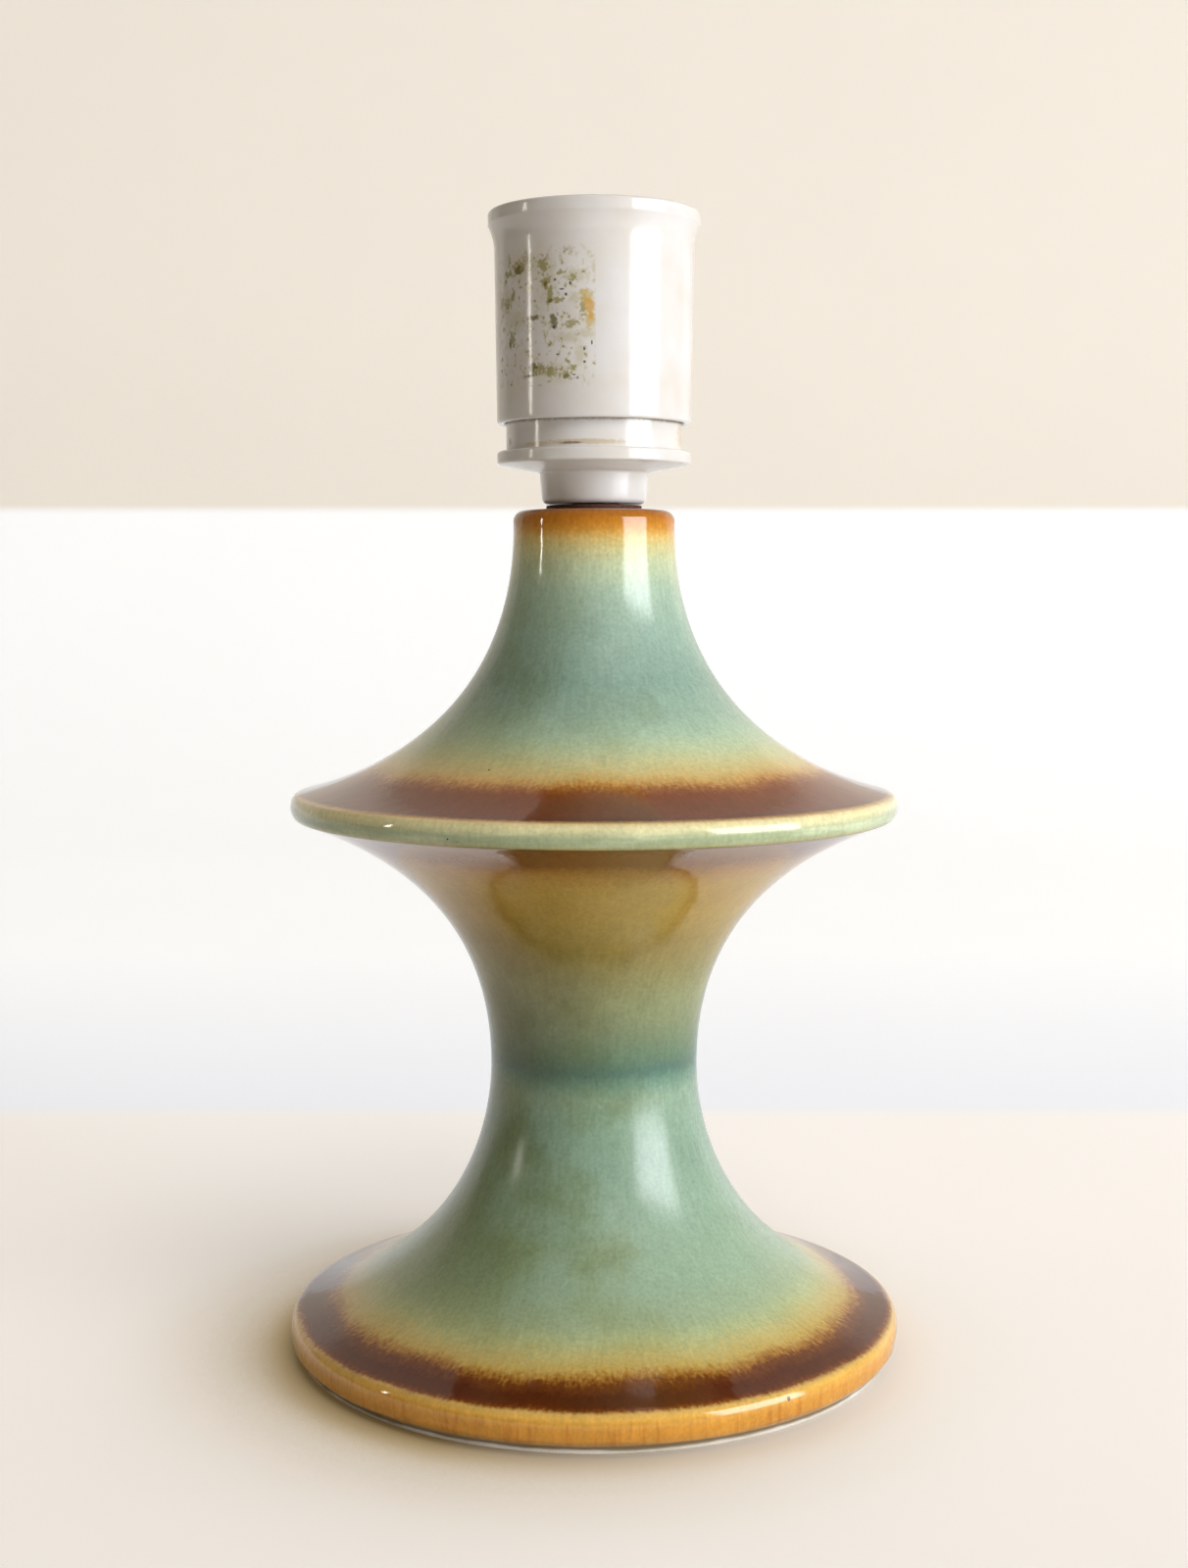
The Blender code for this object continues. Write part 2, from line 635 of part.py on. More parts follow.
# Insert, shell and contacts
def insulator():
    """The porcelain insert, with a wiring well below and a chamber for each terminal."""
    corners = [
        (0, INSERT_HEIGHT),
        (insert_radius - INSERT_ROUND, INSERT_HEIGHT),
        (insert_radius, INSERT_HEIGHT - INSERT_ROUND),
        (insert_radius, INSERT_ROUND),
        (insert_radius - INSERT_ROUND, 0),
        (WELL_RADIUS, 0),
        (WELL_RADIUS, WELL_HEIGHT),
        (0, WELL_HEIGHT),
    ]
    mesh = outline_mesh("insulator", corners, False)
    piece = add_piece("insulator", mesh, "porcelain", (0, 0, insert_seat), holder_axis)
    turn(piece, SHELL_STEPS)
    half_width = TERMINAL_WIDTH * HALF + HOLE_GAP
    inner = terminal_inner_end - HOLE_GAP
    outer = insert_radius + CUT_OVERRUN
    roof = terminal_top + SEAT_GAP
    for side, sign in (("live", -1), ("neutral", 1)):
        ends = sorted((sign * inner, sign * outer))
        low = (ends[0], -half_width, insert_seat - CUT_OVERRUN)
        high = (ends[1], half_width, roof)
        name = f"{side}_chamber"
        cut(piece, add_cutter(name, block_mesh(name, low, high)))
    hole = RIVET_RADIUS + HOLE_GAP
    length = TERMINAL_ROOF + 2 * CUT_OVERRUN
    for side, place in (("live", -contact_rivet_reach), ("neutral", floor_middle)):
        cut_rod(piece, f"{side}_rivet_hole", hole, (place, 0, roof - CUT_OVERRUN), length, "Z")
    hole = FIXING_SCREW_RADIUS + HOLE_GAP
    length = INSERT_HEIGHT + 2 * CUT_OVERRUN
    for side, place in (("front", -floor_middle), ("rear", floor_middle)):
        cut_rod(piece, f"insert_hole_{side}", hole, (0, place, insert_seat - CUT_OVERRUN), length, "Z")


def screw_shell():
    """The shell that takes the lamp: a tube with a floor and a lip turned outwards."""
    corners = [
        (SHELL_BORE, SHELL_HEIGHT),
        (shell_lip_radius, SHELL_HEIGHT),
        (shell_lip_radius, SHELL_HEIGHT - SHELL_LIP_THICKNESS),
        (shell_radius, SHELL_HEIGHT - SHELL_LIP_THICKNESS),
        (shell_radius, 0),
        (shell_opening, 0),
        (shell_opening, SHELL_FLOOR),
        (SHELL_BORE, SHELL_FLOOR),
    ]
    shell = turned("screw_shell", corners, "nickelled_brass", shell_seat, SHELL_STEPS, holder_axis)
    start = shell_seat - CUT_OVERRUN
    length = SHELL_FLOOR + 2 * CUT_OVERRUN
    hole = FIXING_SCREW_RADIUS + HOLE_GAP
    for side, place in (("front", -floor_middle), ("rear", floor_middle)):
        cut_rod(shell, f"shell_hole_{side}", hole, (0, place, start), length, "Z")
    cut_rod(shell, "shell_rivet_hole", RIVET_RADIUS + HOLE_GAP, (floor_middle, 0, start), length, "Z")


def fixings():
    """Two long screws hold shell and insert on the cap, and a rivet joins shell and terminal."""
    head_seat = shell_floor_top + SEAT_GAP
    shank = head_seat - cap_floor_top + FIXING_SCREW_BITE
    for side, place in (("front", -floor_middle), ("rear", floor_middle)):
        fastener(
            f"fixing_screw_{side}",
            FIXING_SCREW_HEAD_RADIUS,
            FIXING_SCREW_HEAD,
            FIXING_SCREW_RADIUS,
            shank,
            "zinc_steel",
            (0, place, head_seat),
            True,
            holder_axis,
        )
    shank = head_seat - terminal_top + RIVET_BITE
    place = (floor_middle, 0, head_seat)
    rivet("neutral_rivet", shank, place)
    contact_top = insert_top + SEAT_GAP + CONTACT_SHEET
    head_seat = contact_top + CONTACT_PLAY
    shank = head_seat - terminal_top + RIVET_BITE
    place = (-contact_rivet_reach, 0, head_seat)
    rivet("contact_rivet", shank, place)


def terminals():
    """Brass blocks with a wire hole from below and a clamp screw from the side."""
    half_width = TERMINAL_WIDTH * HALF
    middle = wire_hole_reach
    half_length = (terminal_outer_end - terminal_inner_end) * HALF
    level = terminal_seat + CLAMP_SCREW_LEVEL
    head_seat = terminal_outer_end + SEAT_GAP
    tip = wire_hole_reach + WIRE_HOLE_RADIUS + SEAT_GAP
    rivets = {"live": contact_rivet_reach, "neutral": floor_middle}
    for side, sign in (("live", -1), ("neutral", 1)):
        name = f"{side}_terminal"
        low = (-half_length, -half_width, 0)
        high = (half_length, half_width, TERMINAL_HEIGHT)
        place = (sign * middle, 0, terminal_seat)
        block = add_piece(name, block_mesh(name, low, high), "brass", place, holder_axis)
        soften(block, TERMINAL_ROUND)
        start = (sign * middle, 0, terminal_seat - CUT_OVERRUN)
        cut_rod(block, f"{side}_wire_hole", WIRE_HOLE_RADIUS, start, WIRE_HOLE_DEPTH + CUT_OVERRUN, "Z")
        depth = RIVET_BITE + HOLE_GAP
        start = (sign * rivets[side], 0, terminal_top - depth)
        cut_rod(block, f"{side}_block_hole", RIVET_RADIUS + HOLE_GAP, start, depth + CUT_OVERRUN, "Z")
        outer = terminal_outer_end + CUT_OVERRUN
        ends = sorted((sign * middle, sign * outer))
        hole = CLAMP_SCREW_RADIUS + HOLE_GAP
        cut_rod(block, f"{side}_clamp_hole", hole, (ends[0], 0, level), ends[1] - ends[0], "X")
        screw, slot = fastener(
            f"{side}_clamp_screw",
            CLAMP_SCREW_HEAD_RADIUS,
            CLAMP_SCREW_HEAD,
            CLAMP_SCREW_RADIUS,
            head_seat - tip,
            "zinc_steel",
            (sign * head_seat, 0, level),
            True,
            holder_axis,
        )
        screw.rotation_euler.y = sign * radians(90)
        slot.rotation_euler.y = sign * radians(90)


def centre_contact():
    """A sprung tongue: a flat foot under the rivet, a rising arm and a nose turned down.

    Its origin is where the arm leaves the foot, on the axis that it bends about.
    """
    bend = contact_rivet_reach - CONTACT_FOOT_FRONT
    back = -CONTACT_FOOT_FRONT - CONTACT_FOOT_BACK
    crest = (bend, CONTACT_RISE)
    nose = (bend + CONTACT_NOSE, CONTACT_RISE - CONTACT_NOSE_DROP)
    lead = bend * CONTACT_HANDLE_SHARE
    arm = bezier((0, 0), (lead, 0), (crest[0] - lead, crest[1]), crest, CONTACT_POINTS)
    lead = CONTACT_NOSE * CONTACT_HANDLE_SHARE
    down = CONTACT_NOSE_DROP * CONTACT_HANDLE_SHARE
    curl = bezier(crest, (crest[0] + lead, crest[1]), (nose[0], nose[1] + down), nose, CONTACT_POINTS)
    path = [(back, 0)] + arm + curl[1:]

    shape = bmesh.new()
    half_width = CONTACT_WIDTH * HALF
    points = [shape.verts.new((along, half_width, up)) for along, up in path]
    edges = [shape.edges.new(pair) for pair in zip(points, points[1:])]
    extruded = bmesh.ops.extrude_edge_only(shape, edges=edges)["geom"]
    moved = [item for item in extruded if isinstance(item, bmesh.types.BMVert)]
    bmesh.ops.translate(shape, verts=moved, vec=(0, -CONTACT_WIDTH, 0))
    mesh = bpy.data.meshes.new("centre_contact")
    shape.to_mesh(mesh)
    shape.free()
    level = insert_top + SEAT_GAP + CONTACT_SHEET * HALF
    place = (-bend, 0, level)
    piece = add_piece("centre_contact", mesh, "brass", place, holder_axis)
    sheet = piece.modifiers.new("sheet", "SOLIDIFY")
    sheet.thickness = CONTACT_SHEET
    sheet.offset = 0
    sheet.use_even_offset = True
    start = (-contact_rivet_reach, 0, level - CUT_OVERRUN)
    cut_rod(piece, "contact_hole", RIVET_RADIUS + HOLE_GAP, start, 2 * CUT_OVERRUN, "Z")


for old in list(bpy.data.objects):
    bpy.data.objects.remove(old)
lamp = new_collection("ceramic_table_lamp")
cutters = new_collection("cutters")
cutters.hide_render = True
materials = {name: new_material(name) for name in MATERIALS}
lamp_axis = new_empty("lamp_axis", 0)
holder_axis = new_empty("holder_axis", cap_seat, lamp_axis)
sleeve_axis = new_empty("sleeve_axis", sleeve_seat, holder_axis)
bpy.context.view_layer.update()

ceramic_body()
nipple_and_stack()
hex_nut()
holder_cap()
shell_guard()
insulator()
screw_shell()
fixings()
terminals()
centre_contact()
holder_sleeve()
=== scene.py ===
from functools import partial

import bmesh
import bpy
import numpy as np
from mathutils import Matrix, Vector


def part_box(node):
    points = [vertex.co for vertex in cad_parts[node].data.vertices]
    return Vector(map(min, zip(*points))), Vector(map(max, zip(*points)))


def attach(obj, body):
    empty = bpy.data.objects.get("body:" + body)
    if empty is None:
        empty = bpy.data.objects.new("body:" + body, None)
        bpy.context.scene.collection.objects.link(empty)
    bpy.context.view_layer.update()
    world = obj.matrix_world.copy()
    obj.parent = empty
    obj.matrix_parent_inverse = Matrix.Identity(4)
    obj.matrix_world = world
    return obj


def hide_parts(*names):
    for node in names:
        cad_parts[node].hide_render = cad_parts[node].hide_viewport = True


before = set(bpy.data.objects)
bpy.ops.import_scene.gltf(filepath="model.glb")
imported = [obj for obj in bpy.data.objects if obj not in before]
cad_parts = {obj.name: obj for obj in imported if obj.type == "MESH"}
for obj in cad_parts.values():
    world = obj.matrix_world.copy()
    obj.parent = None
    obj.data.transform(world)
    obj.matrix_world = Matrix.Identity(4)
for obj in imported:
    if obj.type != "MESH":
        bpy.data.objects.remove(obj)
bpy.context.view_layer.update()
mm = 0.001
tau = 2 * np.pi
sharpFrom = 35  # degrees between two faces from which their edge stays sharp


# Meshes: every new piece is a grid of points, worked out as whole arrays
def addObject(name, data):
    thing = bpy.data.objects.new(name, data)
    bpy.context.scene.collection.objects.link(thing)
    return thing


def gridFaces(rows, columns, closeRows, closeColumns):
    # corner numbers of the quads between neighbouring grid points, outward when rows run down the outside
    row, column = np.meshgrid(
        np.arange(rows if closeRows else rows - 1),
        np.arange(columns if closeColumns else columns - 1),
        indexing="ij",
    )
    nextRow, nextColumn = (row + 1) % rows, (column + 1) % columns
    corners = [row * columns + column, nextRow * columns + column]
    corners += [nextRow * columns + nextColumn, row * columns + nextColumn]
    return np.stack(corners, -1).reshape(-1, 4), row.ravel(), column.ravel()


def addGrid(
    name, points, *materials, closeRows=True, closeColumns=True, along=None, rowMaterial=None, sharp=sharpFrom
):
    # points has a row for each profile point and a column for each step round; along is 0 to 1 down the rows
    rows, columns = points.shape[:2]
    faces, faceRow, faceColumn = gridFaces(rows, columns, closeRows, closeColumns)
    mesh = bpy.data.meshes.new(name)
    mesh.from_pydata(points.reshape(-1, 3) * mm, [], faces)
    if along is None:
        along = np.linspace(0, 1, rows)
    ends = np.append(along, along[0] if closeRows else 1)
    u, uNext = faceColumn / columns, (faceColumn + 1) / columns
    v, vNext = ends[faceRow], ends[faceRow + 1]
    uv = np.stack([u, v, u, vNext, uNext, vNext, uNext, v], -1)
    layer = mesh.uv_layers.new(name="alongAndRound")
    layer.uv.foreach_set("vector", uv.astype(np.float32).ravel())
    for material in materials:
        mesh.materials.append(material)
    if rowMaterial is not None:
        mesh.polygons.foreach_set("material_index", rowMaterial[faceRow].astype(np.int32))
    shape = bmesh.new()
    shape.from_mesh(mesh)
    bmesh.ops.remove_doubles(shape, verts=shape.verts, dist=0.001 * mm)
    shape.to_mesh(mesh)
    shape.free()
    mesh.shade_smooth()
    mesh.set_sharp_from_angle(angle=np.radians(sharp))
    return addObject(name, mesh)


def turned(profile, steps, shift=0):
    # each profile point (radius, height) carried round the axis, with shift added to its radius
    angle = np.linspace(0, tau, steps, endpoint=False)
    radius = profile[:, :1] + shift
    x, y, z = np.broadcast_arrays(radius * np.cos(angle), radius * np.sin(angle), profile[:, 1:2])
    return np.stack([x, y, z], -1)


def cubic(start, handleA, handleB, end, count):
    # cubic Bezier curve: its four points weighted by the powers of t and 1 - t
    t = np.linspace(0, 1, count)[:, None]
    weights = (1 - t) ** 3, 3 * (1 - t) ** 2 * t, 3 * (1 - t) * t**2, t**3
    points = np.array([start, handleA, handleB, end], float)
    return sum(weight * point for weight, point in zip(weights, points))


def trumpet(narrow, wide, shares, count):
    # leaves its narrow end upright and ends shallow at its wide one; shares place the handles between them
    lead, reach, rise = shares
    out, along = wide[0] - narrow[0], wide[1] - narrow[1]
    handleA = (narrow[0], narrow[1] + lead * along)
    handleB = (narrow[0] + reach * out, narrow[1] + rise * along)
    return cubic(narrow, handleA, handleB, wide, count)


def rimArc(radius, height, depth, rise, turn, count=12):
    # part of an upright ellipse from its widest point, up or down by rise
    a = np.radians(np.linspace(0, turn, count))
    return np.stack([radius - depth + depth * np.cos(a), height + rise * np.sin(a)], -1)


def roundedOutline(corners, arcSteps=6, spacing=0.8, closed=True):
    # outline of (radius, height, fillet) corners, with arcs at the fillets and points along the straights
    outline = []
    for index, (radius, height, fillet) in enumerate(corners):
        here = np.array([radius, height], float)
        back = np.array(corners[index - 1][:2], float) - here
        ahead = np.array(corners[(index + 1) % len(corners)][:2], float) - here
        if not fillet:
            outline.append(here[None])
            continue
        backUnit, aheadUnit = back / np.linalg.norm(back), ahead / np.linalg.norm(ahead)
        half = np.arccos(np.clip(backUnit @ aheadUnit, -1, 1)) / 2
        reach = fillet / np.tan(half)
        centre = here + (backUnit + aheadUnit) / np.linalg.norm(backUnit + aheadUnit) * fillet / np.sin(half)
        first, last = here + backUnit * reach - centre, here + aheadUnit * reach - centre
        sweep = np.pi - 2 * half
        t = np.linspace(0, 1, arcSteps)[:, None]
        outline.append(centre + (first * np.sin((1 - t) * sweep) + last * np.sin(t * sweep)) / np.sin(sweep))
    outline = np.concatenate(outline)
    pieces = []
    for start, end in zip(outline, np.roll(outline, -1, 0)):
        count = max(1, int(np.ceil(np.linalg.norm(end - start) / spacing)))
        pieces.append(start + (end - start) * (np.arange(count) / count)[:, None])
    if not closed:
        pieces[-1] = outline[-1:]
    return np.concatenate(pieces)


def leftNormals(path):
    # unit normals, a quarter turn to the left of the path's direction at each point
    side = np.gradient(path, axis=0)
    side /= np.linalg.norm(side, axis=1)[:, None]
    return np.stack([-side[:, 1], side[:, 0]], -1)


def threadShift(profile, size, levels, radii):
    # right-hand thread between two levels on what lies between two radii: its depth times a rounded wave
    # that climbs one pitch a turn and fades in and out; a negative depth goes towards the axis
    radius, height = profile[:, :1], profile[:, 1:2]
    angle = np.linspace(0, tau, size["steps"], endpoint=False)
    wave = 0.5 - 0.5 * np.cos(tau * height / size["pitch"] - angle)
    run = np.clip(np.minimum(height - levels[0], levels[1] - height) / size["threadFade"], 0, 1)
    groove = size["threadDepth"] * wave * run * run * (3 - 2 * run)
    return groove * (radius > radii[0]) * (radius < radii[1])


def cutAway(piece, shape):
    # takes the shape out of the piece
    mesh = bpy.data.meshes.new("cutter")
    shape.to_mesh(mesh)
    shape.free()
    cutter = addObject("cutter", mesh)
    boolean = piece.modifiers.new("cut", "BOOLEAN")
    boolean.object = cutter
    boolean.solver = "EXACT"
    bpy.context.view_layer.objects.active = piece
    with bpy.context.temp_override(object=piece, active_object=piece):
        bpy.ops.object.modifier_apply(modifier=boolean.name)
    bpy.data.objects.remove(cutter)
    piece.data.set_sharp_from_angle(angle=np.radians(sharpFrom))


def bore(piece, radius, start, length, direction=(0, 0, 1), sides=32):
    # cuts a round hole, its radius, start and length in mm
    shape = bmesh.new()
    ends = {"radius1": radius * mm, "radius2": radius * mm, "depth": length * mm}
    bmesh.ops.create_cone(shape, cap_ends=True, segments=sides, **ends)
    aim = Vector(direction).to_track_quat("Z", "Y").to_matrix().to_4x4()
    middle = Vector(start) * mm + Vector(direction) * length * mm / 2
    bmesh.ops.transform(shape, matrix=Matrix.Translation(middle) @ aim, verts=shape.verts)
    cutAway(piece, shape)


def slotCut(piece, low, high):
    # cuts a box between two corners in mm
    shape = bmesh.new()
    bmesh.ops.create_cube(shape, size=1)
    low, high = Vector(low) * mm, Vector(high) * mm
    bmesh.ops.scale(shape, vec=high - low, verts=shape.verts)
    bmesh.ops.translate(shape, vec=(high + low) / 2, verts=shape.verts)
    cutAway(piece, shape)


def span(node):
    # lowest and highest point and outer radius of a CAD node on the axis, in mm
    low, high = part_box(node)
    return low[2] / mm, high[2] / mm, max(high[0], -low[0]) / mm


def dress(piece, node, rider="lamp"):
    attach(piece, rider)
    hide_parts(node)


# Materials
colourMix = {"output": 2, "data_type": "RGBA"}
colourTimes = {**colourMix, "blend_type": "MULTIPLY"}
smoothStep = {"interpolation_type": "SMOOTHSTEP"}


def linear(hexColour):
    # sRGB hex to linear, the standard curve
    srgb = np.array([int(hexColour[i : i + 2], 16) for i in (1, 3, 5)]) / 255
    values = np.where(srgb <= 0.04045, srgb / 12.92, ((srgb + 0.055) / 1.055) ** 2.4)
    return (*values, 1.0)


def plug(tree, node, links):
    # links has the node's inputs by name or number: a socket to link from, or a value or hex colour to set
    for key, value in links.items():
        if isinstance(value, bpy.types.NodeSocket):
            tree.links.new(value, node.inputs[key])
        else:
            node.inputs[key].default_value = linear(value) if isinstance(value, str) else value


def addNode(tree, kind, *values, output=0, stops=(), **settings):
    # one node with its settings and links, and the output asked for; kind may end with a maths operation,
    # values go to the inputs in order or are one dictionary of them, a ramp's stops are greys or hex colours
    kind, *operation = kind.split()
    node = tree.nodes.new("ShaderNode" + kind)
    if operation:
        node.operation = operation[0]
    for key, value in settings.items():
        setattr(node, key, value)
    plug(tree, node, values[0] if values and isinstance(values[0], dict) else dict(enumerate(values)))
    for index, (position, value) in enumerate(stops):
        elements = node.color_ramp.elements
        if index == 0:
            elements.remove(elements[1])
        element = elements.new(position) if index else elements[0]
        element.position = position
        element.color = linear(value) if isinstance(value, str) else (value, value, value, 1)
    return node.outputs[output]


def newMaterial(name, *patterns):
    # the material, addNode for its tree, places on the piece, and a noise for each (patch in mm, detail)
    material = bpy.data.materials.new(name)
    material.use_nodes = True
    node = partial(addNode, material.node_tree)
    place = node("TexCoord", output="Object")
    noises = [
        node("TexNoise", {"Vector": place, "Scale": 1 / (patch * mm), "Detail": detail})
        for patch, detail in patterns
    ]
    return material, node, place, *noises


def finish(material, links):
    # sets and links the sockets of the material's shader
    plug(material.node_tree, material.node_tree.nodes["Principled BSDF"], links)
    return material


# Glazed body
body = {
    "footRadius": 60.7, "footWidth": 4.4, "footHeight": 1.7, "footRound": 0.5,
    "baseRadius": 62.6, "baseWidest": 5.2, "baseRise": 2.8, "baseDrop": 3.5, "baseRound": 1.6,
    "waistRadius": 21.2, "waistHeight": 58.2,
    "discRadius": 61.4, "discWidest": 111.8, "discRise": 2.4, "discDrop": 2.4, "discRound": 1.4,
    "neckRadius": 16.3, "neckTop": 170.8, "neckCorner": 2.2, "neckStraight": 1.2,
    "baseShares": (0.26, 0.15, 0.80), "underShares": (0.43, 0.26, 0.79), "upperShares": (0.44, 0.27, 0.85),
    "flareRows": {"upper": 76, "under": 70, "base": 70}, "rimTurn": 76, "wall": 5.0, "roof": 6.0, "bore": 5.3,
    "edgeDepth": 15.0, "insideRows": 18, "holeRadius": 4.0, "holeHeight": 22.0,
    "glazeBead": 0.22, "beadWidth": 0.55, "beadAbove": 1.3, "unevenness": 0.08, "stepsRound": 208,
    "wideFrom": (28.0, 44.0),  # radii in mm between which streaks change from a narrow drum's to a wide one's
    "underRimShade": (0.2, 0.6, 1.6),  # mm above the table at which the foot's painted shade under the rim starts, is full and ends
}


def bodyProfile(size):
    # down the outside from the bore to the foot's inner edge, then up the inside
    corner, neckTop = size["neckCorner"], size["neckTop"]
    top = rimArc(size["neckRadius"], neckTop - corner, corner, corner, 90)
    neckEnd = (size["neckRadius"], neckTop - corner - size["neckStraight"])
    waist = (size["waistRadius"], size["waistHeight"])
    discTop, discLow, baseTop, baseLow = (
        rimArc(size[f"{part}Radius"], size[f"{part}Widest"], size[f"{part}Round"], rise, size["rimTurn"])
        for part in ("disc", "base")
        for rise in (size[f"{part}Rise"], -size[f"{part}Drop"])
    )
    roofRow = np.linspace((size["bore"], neckTop), (top[-1][0], neckTop), 10)[:-1]
    flares = {
        "upper": (neckEnd, discTop[-1], size["upperShares"]),
        "under": (waist, discLow[-1], size["underShares"]),
        "base": (waist, baseTop[-1], size["baseShares"]),
    }
    upper, under, base = (trumpet(*flares[part], count) for part, count in size["flareRows"].items())
    outside = [roofRow, top[::-1], upper, discTop[-2::-1], discLow[1:]]
    outside += [under[-2::-1], base[1:], baseTop[-2::-1], baseLow[1:]]
    footOuter, footInner = size["footRadius"], size["footRadius"] - size["footWidth"]
    edge, above = size["footRound"], size["footHeight"] + 1
    corners = [(footOuter, above, 0), (footOuter, 0, edge), (footInner, 0, edge), (footInner, 2, 0)]
    foot = roundedOutline(corners)
    foot = foot[(foot[:, 1] <= size["footHeight"] + 0.01) & (foot[:, 0] >= footInner - 0.01)]
    foot = foot[: np.argmin(foot[:, 0]) + 1]
    roof = neckTop - size["roof"]

    def inner(part, limit):
        # the flare moved one wall inwards along its own normal, as far as the limit and the roof
        curve = trumpet(*flares[part], 90)
        sign = 1 if curve[-1, 1] > curve[0, 1] else -1
        moved = curve + sign * size["wall"] * leftNormals(curve)
        moved = moved[(moved[:, 0] < limit) & (moved[:, 1] < roof)]
        return moved[np.linspace(0, len(moved) - 1, size["insideRows"]).round().astype(int)]

    edge = size["discRadius"] - size["edgeDepth"]
    inside = [inner("base", footInner)[::-1], inner("under", edge)[1:], inner("upper", edge)[::-1]]
    inside += [[(size["neckRadius"] - size["wall"], roof), (size["bore"], roof)]]
    return np.concatenate(outside), foot, np.concatenate(inside)


outside, foot, inside = bodyProfile(body)
glazeSteps = np.linalg.norm(np.diff(outside, axis=0), axis=1)
glazeLength = glazeSteps.sum()
glazeShare = np.append(0, np.cumsum(glazeSteps)) / glazeLength  # how far down it each point lies, 0 to 1
roofLength = body["neckRadius"] - body["neckCorner"] - body["bore"]


glaze = {
    # colours of the glaze by how many mm of it lie above, from the neck's outer edge to the disc's rim
    "upperColours": [
        (-6, "#5d4026"), (0.0, "#7d4a20"), (2.2, "#b06c24"), (4.0, "#cb842c"), (5.6, "#d9a048"),
        (7.0, "#dfc278"), (9.0, "#d6cf94"), (12.0, "#c6d2ab"), (17.0, "#aec6ae"), (25.0, "#9cb8a6"),
        (37.0, "#90ad9c"), (44.0, "#9db8a3"), (49.0, "#b0caad"), (53.0, "#c3d3aa"), (57.0, "#d6d49a"),
        (60.5, "#dfc983"), (63.4, "#d6a75a"), (65.4, "#ad6c2e"), (67.5, "#8a4417"), (72.0, "#7c3c13"),
        (76.8, "#7a350f"), (78.2, "#642a0b"), (78.8, "#8a3f12"), (79.3, "#d8a660"), (80.3, "#f8ecb4"),
        (81.8, "#eeecbc"), (83.0, "#cddab2"), (84.3, "#c2cfa4"), (84.9, "#bdb87e"), (85.3, "#7c4a18"),
    ],
    # and from there to the foot
    "lowerColours": [
        (85.3, "#7c4a18"), (88.0, "#8c5420"), (95.5, "#935d26"), (98.5, "#b07c34"), (101.5, "#c4954a"),
        (106.0, "#cba654"), (116.0, "#be9e50"), (124.0, "#a8924f"), (131.0, "#9b935a"), (138.0, "#93996a"),
        (144.0, "#82906a"), (149.0, "#688566"), (152.8, "#507566"), (155.0, "#6d947e"), (158.0, "#8eac92"),
        (170.0, "#90ad96"), (184.0, "#98b49b"), (196.0, "#9fb99c"), (202.5, "#a8bc98"), (206.5, "#bbc590"),
        (210.0, "#cdc27e"), (213.0, "#cfb362"), (215.2, "#b07a30"), (216.6, "#7c441a"), (219.6, "#5c2a12"),
        (222.4, "#602c0e"), (223.7, "#95501a"), (224.5, "#f4cd74"), (225.3, "#eebb5a"), (226.6, "#de9e38"),
        (228.5, "#db9832"), (231.0, "#bd8f4e"),
    ],
    "join": 85.3,
    # how far, in mm, the edge of a band is frayed where it ran; fullFray is what the ramp's white stands for
    "fullFray": 20.0,
    "fray": [
        (0, 2.0), (9, 3.0), (20, 5.0), (48, 5.0), (58, 7.0), (66, 8.0), (73, 4.0), (77, 1.6), (79.5, 0.7),
        (86, 0.7), (92, 3.0), (97, 7.0), (104, 6.0), (125, 6.0), (148, 4.0), (153, 2.5), (160, 3.0),
        (190, 3.0), (202, 4.0), (210, 7.5), (218, 8.0), (222, 3.5), (224.5, 1.4), (229, 1.2),
    ],
    # what it leans to: olive, darker green pools along the disc's rim, and streaks down the base's rim; where
    # gives how much by mm of glaze, and ends the noise levels between which a patch goes from none to full
    "olive": {"tint": "#d8cfa2", "ends": (0.47, 0.69), "where": [
        (10, 0.0), (24, 0.45), (56, 0.4), (64, 0.0), (118, 0.3), (135, 0.85), (150, 0.9), (153, 0.6),
        (158, 0.9), (190, 0.7), (206, 0.4), (214, 0.0),
    ]},
    # the olive is stronger towards this side, the shaded one: there it is painted shade
    "paintedShadeSide": (-1.0, 0.0, 0.0),
    "pools": {"tint": "#93a07c", "ends": (0.42, 0.62), "where": [
        (81.0, 0.0), (82.6, 0.5), (84.2, 0.4), (85.0, 0.0),
    ]},
    "rimStreaks": {"tint": "#cf9352", "ends": (0.52, 0.7), "where": [
        (225.2, 0.0), (226.4, 0.4), (231.0, 0.4),
    ]},
    # glassy in the brown, amber and cream bands, satin in the blue-green
    "roughness": [
        (0, 0.05), (8, 0.06), (14, 0.12), (22, 0.2), (50, 0.23), (60, 0.16), (66, 0.05), (84, 0.05),
        (100, 0.07), (118, 0.12), (135, 0.18), (150, 0.21), (160, 0.23), (202, 0.23), (213, 0.14),
        (219, 0.05), (231, 0.05),
    ],
    # pits and specks that burst in the firing: their colour, and place and radius in mm
    "pitColour": "#2c2015",
    "pits": [
        (-32.9, -36.5, 21.9, 0.35), (-29.6, -23.5, 125.9, 0.25), (-19.5, -36.5, 121.5, 0.25),
        (7.6, -16.9, 152.0, 0.2), (12.9, -20.9, 132.5, 0.2), (28.3, -20.0, 129.5, 0.2),
        (35.9, -51.0, 6.6, 0.4), (-26.0, -55.6, 110.9, 0.2), (-24.2, -56.3, 110.4, 0.2),
        (41.0, 12.0, 121.0, 0.25), (5.0, 35.0, 23.0, 0.3), (-9.0, 24.5, 137.0, 0.25),
    ],
}


